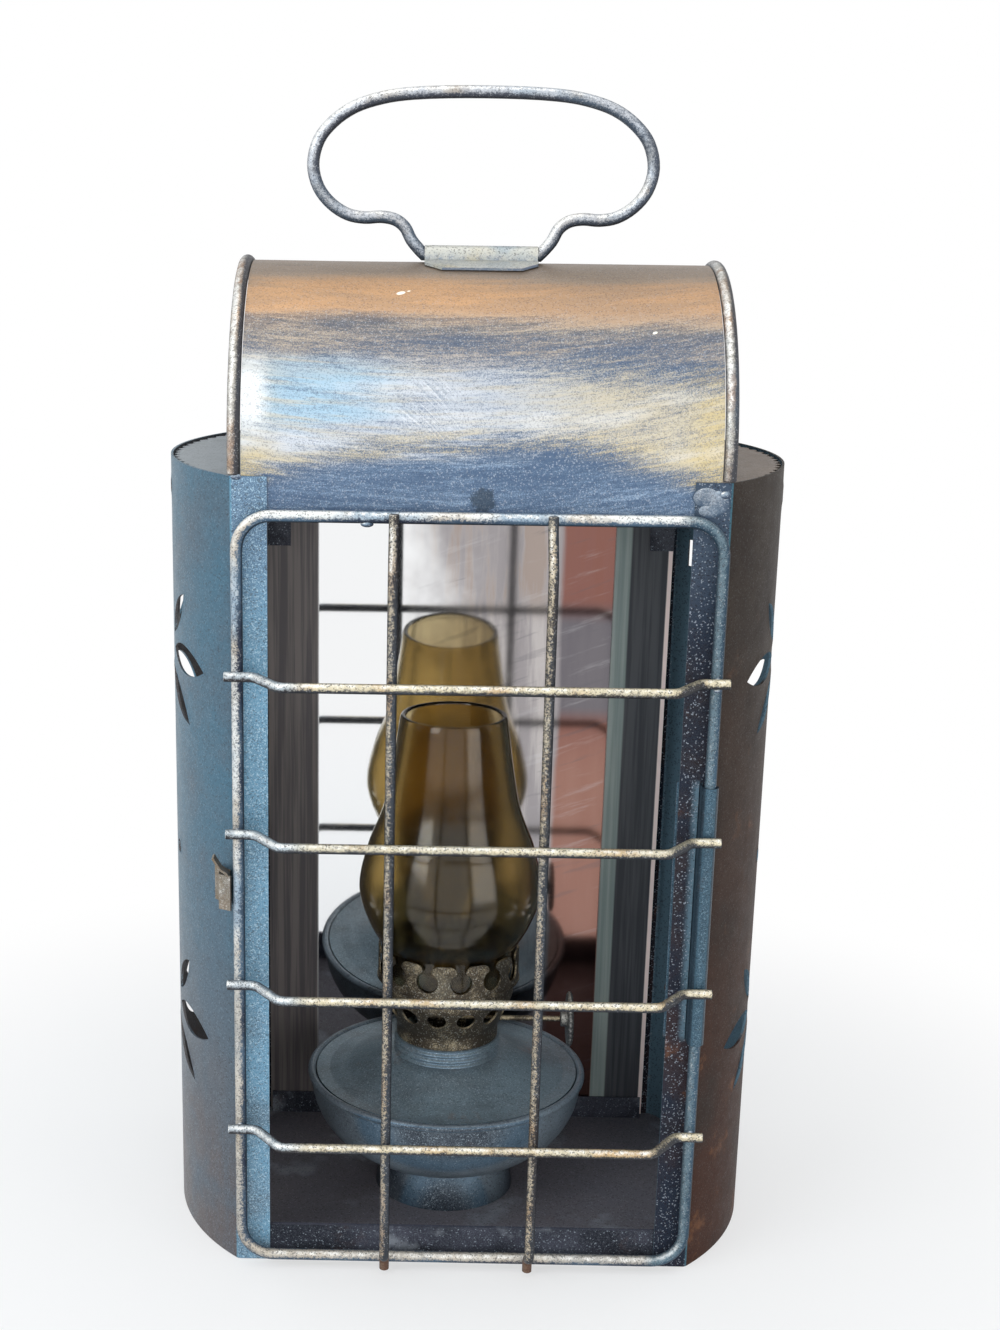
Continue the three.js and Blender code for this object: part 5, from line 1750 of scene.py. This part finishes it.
@dataclass
class CarryHandle:
    """The folding bail over the hood."""

    hood: BarrelHood
    half_width: float = 50.7
    rise: float = 46.8
    butt: float = 0.1
    shares: tuple[Point2, ...] = (
        (0.415, 0.09), (0.456, 0.17), (0.512, 0.215), (0.595, 0.232), (0.694, 0.226), (0.794, 0.245),
        (0.893, 0.31), (0.968, 0.41), (1.0, 0.55), (0.966, 0.7), (0.883, 0.81), (0.76, 0.9),
        (0.595, 0.958), (0.417, 0.986), (0.0, 1.0),
    )

    @staticmethod
    def smoothed(points: list[Vector], steps: int) -> list[Vector]:
        """Runs a smooth curve through points, which keeps its shape where they crowd.

        Args:
            points: Places that it passes.
            steps: Points from one place to the next.

        Returns:
            Points along the curve.
        """
        padded = [points[0] * 2 - points[1], *points, points[-1] * 2 - points[-2]]
        made = [points[0].copy()]
        for a, b, c, d in zip(padded, padded[1:], padded[2:], padded[3:]):
            da, db, dc = (math.sqrt((q - p).length) for p, q in ((a, b), (b, c), (c, d)))
            leave = ((b - a) / da - (c - a) / (da + db) + (c - b) / db) * db
            arrive = ((c - b) / db - (d - b) / (db + dc) + (d - c) / dc) * db
            made += [Forge.curve(b, c, leave, arrive, i / steps) for i in range(1, steps + 1)]
        return made

    def make(self) -> None:
        """Makes the bail."""
        half = [Vector((self.hood.clip_width / 2 + self.hood.gap, 0, 0))]
        half += [Vector((x * self.half_width, 0, z * self.rise)) for x, z in self.shares]
        mirrored = [Vector((-p.x, 0, p.z)) for p in reversed(half[:-1])]
        butt = Vector((self.butt, 0, 0))
        line = [butt, *self.smoothed(half + mirrored, 4), -butt]
        shape = Forge.sweep(line, self.hood.wire / 2, 20).moved(z=self.hood.pivot)
        show("bail_wire", shape, Finish.HANDLE, Body.HANDLE, "wire", "handle_bail")


@dataclass
class OilLamp:
    """The lamp's foot, font and lid."""

    offset: float = -5.0
    base: float = 0.7
    sheet: float = 0.8
    foot_radius: float = 23.3
    foot_top: float = 21.0
    foot_height: float = 12.3
    font_radius: float = 45.4
    font_height: float = 29.0
    bead: float = 1.3
    lid_gap: float = 0.3
    lid_rise: float = 8.0
    lid_lip: float = 4.0
    lid_ease: float = 1.35
    collar: float = 17.7
    bore: float = 13.0

    @property
    def lid_base(self) -> float:
        """Height of the font's top edge."""
        return self.base + self.foot_height + self.font_height

    @property
    def collar_base(self) -> float:
        """Height of the collar's foot."""
        return self.lid_base + self.lid_rise

    def foot(self) -> Shape:
        """The flared foot ring under the font."""
        top, ceiling = self.foot_height, self.foot_height - self.sheet
        inner, outer = self.foot_top - self.sheet, self.foot_radius - self.sheet
        profile = [
            (0, ceiling), (inner - 0.8, ceiling), (inner, ceiling - 0.8), (outer, 0.15), (outer + 0.15, 0),
            (self.foot_radius - 0.15, 0), (self.foot_radius, 0.15), (self.foot_radius - 0.1, 1.0),
            (self.foot_top + 0.05, top - 0.6), (self.foot_top - 0.5, top), (0, top),
        ]
        return Forge.lathe(profile).moved(self.offset, 0, self.base)

    def font(self) -> Shape:
        """The bowl with its rolled edge."""
        start, end, tall = self.foot_top, self.font_radius, self.font_height
        belly = start + (end - start) * 0.55
        pulls = ((start, 0.0), (belly, tall * 0.12), (end, tall * 0.45), (end, tall - self.bead))
        bowl: Loop = []
        for t in (i / 24 for i in range(25)):
            weights = ((1 - t) ** 3, 3 * t * (1 - t) ** 2, 3 * t * t * (1 - t), t ** 3)
            bowl.append(tuple(sum(w * p[k] for w, p in zip(weights, pulls)) for k in (0, 1)))
        inner = [(r - self.sheet, z if i == 0 else z + self.sheet) for i, (r, z) in enumerate(reversed(bowl))]
        roll = Forge.arc(end, tall, self.bead, -90, 180, 16)[1:]
        profile = [(0, 0), *bowl, *roll, *inner, (0, self.sheet)]
        return Forge.lathe(profile, 128).moved(self.offset, 0, self.base + self.foot_height)

    def lid(self) -> Shape:
        """The dished lid that rises to the burner."""
        rim, sheet = self.font_radius - self.bead - self.lid_gap, self.sheet
        step = rim - 2 * self.lid_lip
        top = [
            (rim, sheet), (rim - self.lid_lip, sheet), (rim - self.lid_lip - 0.8, sheet + 0.1),
            (step + 0.8, 2 * sheet - 0.15), (step, 2 * sheet),
        ]
        run, climb = self.collar + self.lid_lip - step, self.lid_rise - sheet - 2 * sheet
        for t in (i / 9 for i in range(1, 10)):
            top.append((step + run * t, 2 * sheet + climb * t ** self.lid_ease))
        top += [(self.collar + sheet, self.lid_rise), (self.bore, self.lid_rise)]
        under = [(r, z - sheet) for r, z in reversed(top)]
        return Forge.lathe(top + under, 128).moved(self.offset, 0, self.lid_base)

    def make(self) -> None:
        """Makes the lamp's body."""
        show("flared_foot", self.foot(), Finish.LAMP, Body.LAMP, "lamp_sheet", "lamp_foot")
        show("oil_font", self.font(), Finish.LAMP, Body.LAMP, "lamp_sheet", "lamp_font")
        show("dished_lid", self.lid(), Finish.LID, Body.LAMP, "lamp_sheet", "lamp_lid")


@dataclass
class Burner:
    """Collar, pierced basket, puzzle-edged crown, chimney and wick works."""

    lamp: OilLamp
    collar_height: float = 6.0
    ridges: int = 3
    radius: float = 21.8
    sheet: float = 0.7
    neck: float = 4.0
    shoulder: float = 11.3
    height: float = 21.0
    air_hole: float = 6.4
    air_count: int = 13
    air_rise: float = 11.5
    air_turn: float = 16.5
    crown_sheet: float = 0.6
    crown_height: float = 11.0
    keys: int = 13
    key_radius: float = 3.7
    key_neck: float = 3.0
    key_rise: float = 5.2
    key_turn: float = 9.5
    lobe: float = 2.4
    fit: float = 0.4
    glass_foot: float = 22.4
    glass_bulge: float = 30.0
    glass_top: float = 17.2
    glass_height: float = 89.0
    glass_wall: float = 1.7
    bulge_shares: tuple[Point2, ...] = ((0.9, 0.217), (1.0, 0.343), (0.91, 0.498), (0.72, 0.681))
    shaft_radius: float = 0.9
    shaft_rise: float = 6.6
    bore_clearance: float = 0.4
    shaft_y: float = -3.8
    shaft_span: Point2 = (-8.0, 37.6)
    wheel_radius: Point2 = (2.4, 1.9)
    wheel_half: float = 0.8
    wheel_place: float = 2.5
    knob_radius: float = 9.2
    knob_thickness: float = 1.7
    knob_teeth: int = 30
    knob_boss: float = 2.0

    @property
    def base(self) -> float:
        """Height of the basket's foot."""
        return self.lamp.collar_base + self.collar_height

    @property
    def flange(self) -> float:
        """Height of the flange that carries the crown."""
        return self.base + self.height

    @property
    def crown_inner(self) -> float:
        """Inner radius of the crown."""
        return self.glass_foot + self.fit

    def collar(self) -> Shape:
        """The ridged screw collar."""
        radius, bore = self.lamp.collar, self.lamp.bore
        profile: Loop = [(bore, 0), (radius, 0)]
        for share in (i / 36 for i in range(1, 36)):
            wave = math.cos(share * 2 * self.ridges * math.pi)
            profile.append((radius - 0.4 + 0.4 * wave, self.collar_height * share))
        profile += [(radius, self.collar_height), (bore, self.collar_height)]
        return Forge.lathe(profile).moved(self.lamp.offset, 0, self.lamp.collar_base)

    @staticmethod
    def ring_start(turn: float, count: int) -> float:
        """Where a ring's blank starts, so that its first hole lies turn degrees from the front."""
        return math.radians(turn - 90 - 180 / count)

    def ring_place(self, rail: Rail, start: float) -> Placer:
        """Rolls a blank of angle and length into a ring.

        Args:
            rail: The ring's section, as radius and height.
            start: Where the blank starts, in radians.

        Returns:
            What gives the ring's point and outward normal.
        """

        def place(angle: float, mark: float) -> Spot:
            """Point and outward normal of the ring."""
            radius, height, out, up = rail.at(mark)
            turn = start + angle / self.radius
            cos, sin = math.cos(turn), math.sin(turn)
            return Vector((radius * cos, radius * sin, height)), Vector((out * cos, out * sin, up))

        return place

    def basket(self) -> Shape:
        """The basket with its ring of air holes and top flange."""
        low = self.lamp.collar - self.lamp.sheet
        edge = self.crown_inner + self.crown_sheet + 0.3
        flare = (self.radius - low) / self.shoulder
        bend, top = self.neck + self.shoulder, self.height
        rail = Rail([
            (low, 0), (low, self.neck - 0.8), (low + 0.08, self.neck + 0.2), (low + flare, self.neck + 1),
            (self.radius - flare * 0.8, bend - 0.8), (self.radius - 0.08, bend + 0.1),
            (self.radius, bend + 0.7), (self.radius, top - 1.2), (self.radius + 0.2, top - 0.8),
            (self.radius + 0.7, top - 0.7), (edge, top - 0.7),
        ])
        around = math.tau * self.radius
        columns, rows = spaced(0, around, 1.15), rail.columns(1.3)
        pitch = around / self.air_count
        start = self.ring_start(self.air_turn, self.air_count)

        def hole(angle: float, rise: float, radius: float) -> Loop:
            """A round hole that stays round on the flared cone."""
            centre = rail.mark_of(rise, 1)
            scale = self.radius / (low + flare * (rise - self.neck))
            return [(angle + x * scale, centre + z) for x, z in Forge.ring(0, 0, radius, 28)]

        holes = [hole((i + 0.5) * pitch, self.air_rise, self.air_hole / 2) for i in range(self.air_count)]
        reach = low + flare * (self.shaft_rise - self.neck)
        bore = (math.asin(self.shaft_y / reach) - start) % math.tau
        holes.append(hole(bore * self.radius, self.shaft_rise, self.shaft_radius + self.bore_clearance))
        made = Forge.sheet(
            framed(columns, rows), holes, columns, rows, self.ring_place(rail, start), self.sheet, 0.1, True)
        return made.moved(self.lamp.offset, 0, self.base)

    def crown(self) -> Shape:
        """The crown of rounded prongs parted by keyholes."""
        outer = self.crown_inner + self.crown_sheet
        around = math.tau * self.radius
        scale = self.radius / outer
        mouth = self.crown_height - self.lobe
        neck = self.key_neck / 2
        open_angle = math.degrees(math.asin(neck / self.key_radius))
        key = [
            *Forge.arc(-neck - self.lobe, mouth, self.lobe, 90, 0, 8),
            *Forge.arc(0, self.key_rise, self.key_radius, 90 + open_angle, 450 - open_angle, 22),
            *Forge.arc(neck + self.lobe, mouth, self.lobe, 180, 90, 8),
        ]
        pitch = around / self.keys
        top = [((i + 0.5) * pitch + x * scale, z) for i in range(self.keys) for x, z in key]
        columns, rows = spaced(0, around, 1.3), spaced(0, self.crown_height, 1.2)
        outline = [
            *[(u, 0.0) for u in columns],
            *[(around, v) for v in rows[1:]],
            *reversed(top),
            *[(0.0, v) for v in reversed(rows[1:])],
        ]
        rail = Rail([(outer, 0), (outer, self.crown_height)])
        place = self.ring_place(rail, self.ring_start(self.key_turn, self.keys))
        made = Forge.sheet(outline, [], columns, rows, place, self.crown_sheet, 0.0, True)
        return made.moved(self.lamp.offset, 0, self.flange)

    def chimney(self) -> Shape:
        """The blown chimney, with its wall and its rounded rims."""
        marks = [Vector((self.glass_foot, self.crown_height))]
        marks += [Vector((r * self.glass_bulge, z * self.glass_height)) for r, z in self.bulge_shares]
        marks.append(Vector((self.glass_top, self.glass_height)))
        padded = [marks[0], *marks, marks[-1]]
        wall: Loop = [(self.glass_foot, 0.5), (self.glass_foot, 3.0), (self.glass_foot, 6.5)]
        for a, b, c, d in zip(padded, padded[1:], padded[2:], padded[3:]):
            points = [Forge.curve(b, c, (c - a) / 2, (d - b) / 2, i / 14) for i in range(14)]
            wall += [(point.x, point.y) for point in points]
        thick, half = self.glass_wall, self.glass_wall / 2
        rim_height = self.glass_height - half
        outer = [(r, z) for r, z in wall if z < rim_height]
        rim = Forge.arc(self.glass_top - half, rim_height, half, 0, 180, 8)
        inner = [(r - thick, z) for r, z in reversed(outer)]
        profile = [(self.glass_foot - thick + 0.4, 0), (self.glass_foot - 0.4, 0), *outer, *rim, *inner]
        return Forge.lathe(profile, 128).moved(self.lamp.offset, 0, self.flange + 0.3)

    def knob(self) -> Shape:
        """The milled knob and its boss, turned about X."""
        thick, radius, boss = self.knob_thickness, self.knob_radius, self.knob_boss
        profile = [
            (0, -boss), (2.3, -boss), (2.6, 0.3 - boss), (2.6, 0.0), (radius - 0.9, 0.0),
            (radius - 0.15, 0.45), (radius, 0.9), (radius, thick - 0.7), (radius - 0.2, thick - 0.3),
            (radius - 0.8, thick), (radius - 1.6, thick - 0.15), (3.2, thick - 0.5), (2.4, thick - 0.15),
            (0, thick),
        ]
        made = Forge.lathe(profile, 6 * self.knob_teeth)
        for corner in made.corners:
            reach = math.hypot(corner.x, corner.y)
            if reach > radius - 0.5:
                angle = math.atan2(corner.y, corner.x)
                cut = 0.4 * (0.5 - 0.5 * math.cos(angle * self.knob_teeth))
                corner.x *= 1 - cut / reach
                corner.y *= 1 - cut / reach
        place = self.lamp.offset + self.shaft_span[1] + 2.2
        return made.turned(90, "Y").moved(place, self.shaft_y, self.base + self.shaft_rise)

    def shaft(self) -> Shape:
        """The raiser shaft with its two toothed wheels."""
        height, x = self.base + self.shaft_rise, self.lamp.offset
        line = [Vector((x + s, self.shaft_y, height)) for s in spaced(*self.shaft_span, 8.0)]
        made = Forge.sweep(line, self.shaft_radius, 20)
        tip, root = self.wheel_radius
        outline = [
            ((root if i % 4 else tip) * cos, (root if i % 4 else tip) * sin)
            for i, (cos, sin) in enumerate(Forge.around(32))]
        disc = Forge.prism(outline, -self.wheel_half, self.wheel_half).turned(90, "Y")
        for sign in (-1, 1):
            made.add(disc.moved(x + sign * self.wheel_place, self.shaft_y, height))
        return made

    def make(self) -> None:
        """Makes the burner, the chimney and the wick works."""
        show("ridged_collar", self.collar(), Finish.LID, Body.LAMP, "burner", "burner_collar")
        show("pierced_basket", self.basket(), Finish.BURNER, Body.LAMP, "burner", "burner_basket")
        show("pronged_crown", self.crown(), Finish.BURNER, Body.LAMP, "burner", "gallery_crown")
        show("amber_chimney", self.chimney(), Finish.GLASS, Body.CHIMNEY, "chimney", "lamp_chimney")
        show("milled_knob", self.knob(), Finish.KNOB, Body.RAISER, "burner", "wick_knob")
        show("raiser_shaft", self.shaft(), Finish.BURNER, Body.RAISER, "burner", "wick_shaft")
        dress("wick_tube", Finish.BURNER, 0.15)
        dress("wick", Finish.WICK, 0.4)


@dataclass(frozen=True)
class SoftLamp:
    """An area lamp, which gloss and glass may be kept from showing."""

    name: str
    place: Point3
    aim: Point3
    size: Point2
    power: float
    colour: Colour = (1.0, 1.0, 1.0)
    seen: bool = True

    def hang(self) -> None:
        """Hangs the lamp."""
        data = bpy.data.lights.new(self.name, "AREA")
        data.shape = "RECTANGLE"
        data.size, data.size_y = self.size
        data.energy = self.power
        data.color = self.colour
        lamp = placed(self.name, data)
        lamp.location = self.place
        lamp.rotation_mode = "QUATERNION"
        lamp.rotation_quaternion = (Vector(self.aim) - Vector(self.place)).to_track_quat("-Z", "Y")
        lamp.visible_camera = lamp.visible_glossy = lamp.visible_transmission = self.seen


@dataclass
class Studio:
    """Camera, lamps, floor and backdrop."""

    eye: Point3 = (-0.01882, -0.63554, 0.33612)
    yaw: float = -0.0134
    pitch: float = 0.2914
    roll: float = -0.0126
    focal: float = 2043.8
    picture: tuple[int, int] = (1000, 1330)
    middle: Point2 = (383.9, 774.9)
    sensor: float = 36.0
    floor_half: float = 4.0
    floor_ends: Point2 = (-3.0, 1.2)
    floor_bend: float = 0.8
    lamps: tuple[SoftLamp, ...] = (
        SoftLamp("key", (-1.1, -1.0, 0.9), (0, 0, 0.18), (0.9, 1.1), 11.0, (0.93, 0.97, 1.0)),
        SoftLamp("fill", (1.1, -1.2, 0.5), (0, 0, 0.15), (0.8, 1.0), 5.0, (1.0, 0.95, 0.89)),
        SoftLamp("front", (0.1, -1.7, 0.35), (0, 0, 0.12), (1.4, 0.7), 16.0, seen=False),
        SoftLamp("glow", (0, 0.034, 0.13), (0, -0.2, 0.12), (0.11, 0.16), 0.07, (0.9, 0.96, 1.0), False),
        SoftLamp("top", (0.0, -0.1, 1.4), (0, 0, 0.2), (1.0, 0.8), 4.5, (1.0, 0.97, 0.93)),
    )

    def camera(self) -> None:
        """Places the camera where the photograph was taken."""
        longest = max(self.picture)
        data = bpy.data.cameras.new("view")
        data.sensor_fit = "AUTO"
        data.sensor_width = self.sensor
        data.lens = self.focal / longest * self.sensor
        data.shift_x = (self.picture[0] / 2 - self.middle[0]) / longest
        data.shift_y = (self.middle[1] - self.picture[1] / 2) / longest
        data.clip_start, data.clip_end = 0.01, 50.0
        view = placed("view", data)
        level = math.cos(self.pitch)
        ahead = Vector((math.sin(self.yaw) * level, math.cos(self.yaw) * level, -math.sin(self.pitch)))
        right = Vector((math.cos(self.yaw), -math.sin(self.yaw), 0))
        down = ahead.cross(right)
        tilted = right * math.cos(self.roll) + down * math.sin(self.roll)
        up = -(down * math.cos(self.roll) - right * math.sin(self.roll))
        columns = (tilted, up, -ahead, Vector(self.eye))
        view.matrix_world = Matrix([*([column[k] for column in columns] for k in range(3)), (0, 0, 0, 1)])
        bpy.context.scene.camera = view

    def backdrop(self) -> None:
        """Lays a pale floor that curves up behind the lantern and fades to white."""
        (near, far), bend = self.floor_ends, self.floor_bend
        rail = [(near, 0.0), (far, 0.0)]
        for turn in np.linspace(0, math.pi / 2, 16)[1:]:
            rail.append((far + bend * math.sin(turn), bend - bend * math.cos(turn)))
        rail.append((far + bend, 4.0))
        corners = [(x, y, z - 0.0002) for y, z in rail for x in (-self.floor_half, self.floor_half)]
        faces = [(2 * i, 2 * i + 1, 2 * i + 3, 2 * i + 2) for i in range(len(rail) - 1)]
        mesh = bpy.data.meshes.new("backdrop")
        mesh.from_pydata(corners, [], faces)
        mesh.shade_smooth()
        bench = Bench("backdrop_paper")
        across, deep, height = bench.parts(bench.place())
        paper = bench.tint(bench.cloud(400, 3, 0.6) * 0.3, (0.86, 0.86, 0.86), (0.82, 0.82, 0.82))
        surface = bench.node("ShaderNodeBsdfPrincipled", None, {"Base Color": paper, "Roughness": 0.8})
        glow = bench.node("ShaderNodeEmission", None, {"Color": (1.0, 1.0, 1.0), "Strength": 1.0})
        fade = (across * across + deep * deep + height * height * 4).rise(0.01, 0.1) * 0.45 + 0.55
        mixed = bench.node("ShaderNodeMixShader", None, {0: bench.seen() * fade, 1: surface, 2: glow})
        mesh.materials.append(bench.close(mixed))
        placed("backdrop", mesh)

    @staticmethod
    def sky() -> None:
        """Fills the room with plain light that reads white to the eye and to metal."""
        bench = Bench("room", world=True)
        fill, white = (
            bench.node("ShaderNodeBackground", None, {"Color": colour, "Strength": strength})
            for colour, strength in (((0.86, 0.93, 1.0), 0.55), ((1.0, 1.0, 1.0), 1.0)))
        mixed = bench.node("ShaderNodeMixShader", None, {0: bench.seen(), 1: fill, 2: white})
        bpy.context.scene.world = bench.close(mixed)

    def make(self) -> None:
        """Sets up the studio."""
        self.camera()
        for lamp in self.lamps:
            lamp.hang()
        self.backdrop()
        self.sky()
        bpy.context.scene.view_settings.view_transform = "Standard"
        LOG.info("studio set")


def main() -> None:
    """Builds the lantern in order and sets the studio."""
    logging.basicConfig(level=logging.INFO, format="%(name)s: %(message)s")
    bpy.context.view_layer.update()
    case, lamp = PunchedCase(), OilLamp()
    hood = BarrelHood(case)
    lantern = (case, hood, MirrorBack(), GuardDoor(case), CarryHandle(hood), lamp, Burner(lamp))
    for assembly in (*lantern, Studio()):
        assembly.make()
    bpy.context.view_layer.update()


if __name__ == "__main__":
    main()
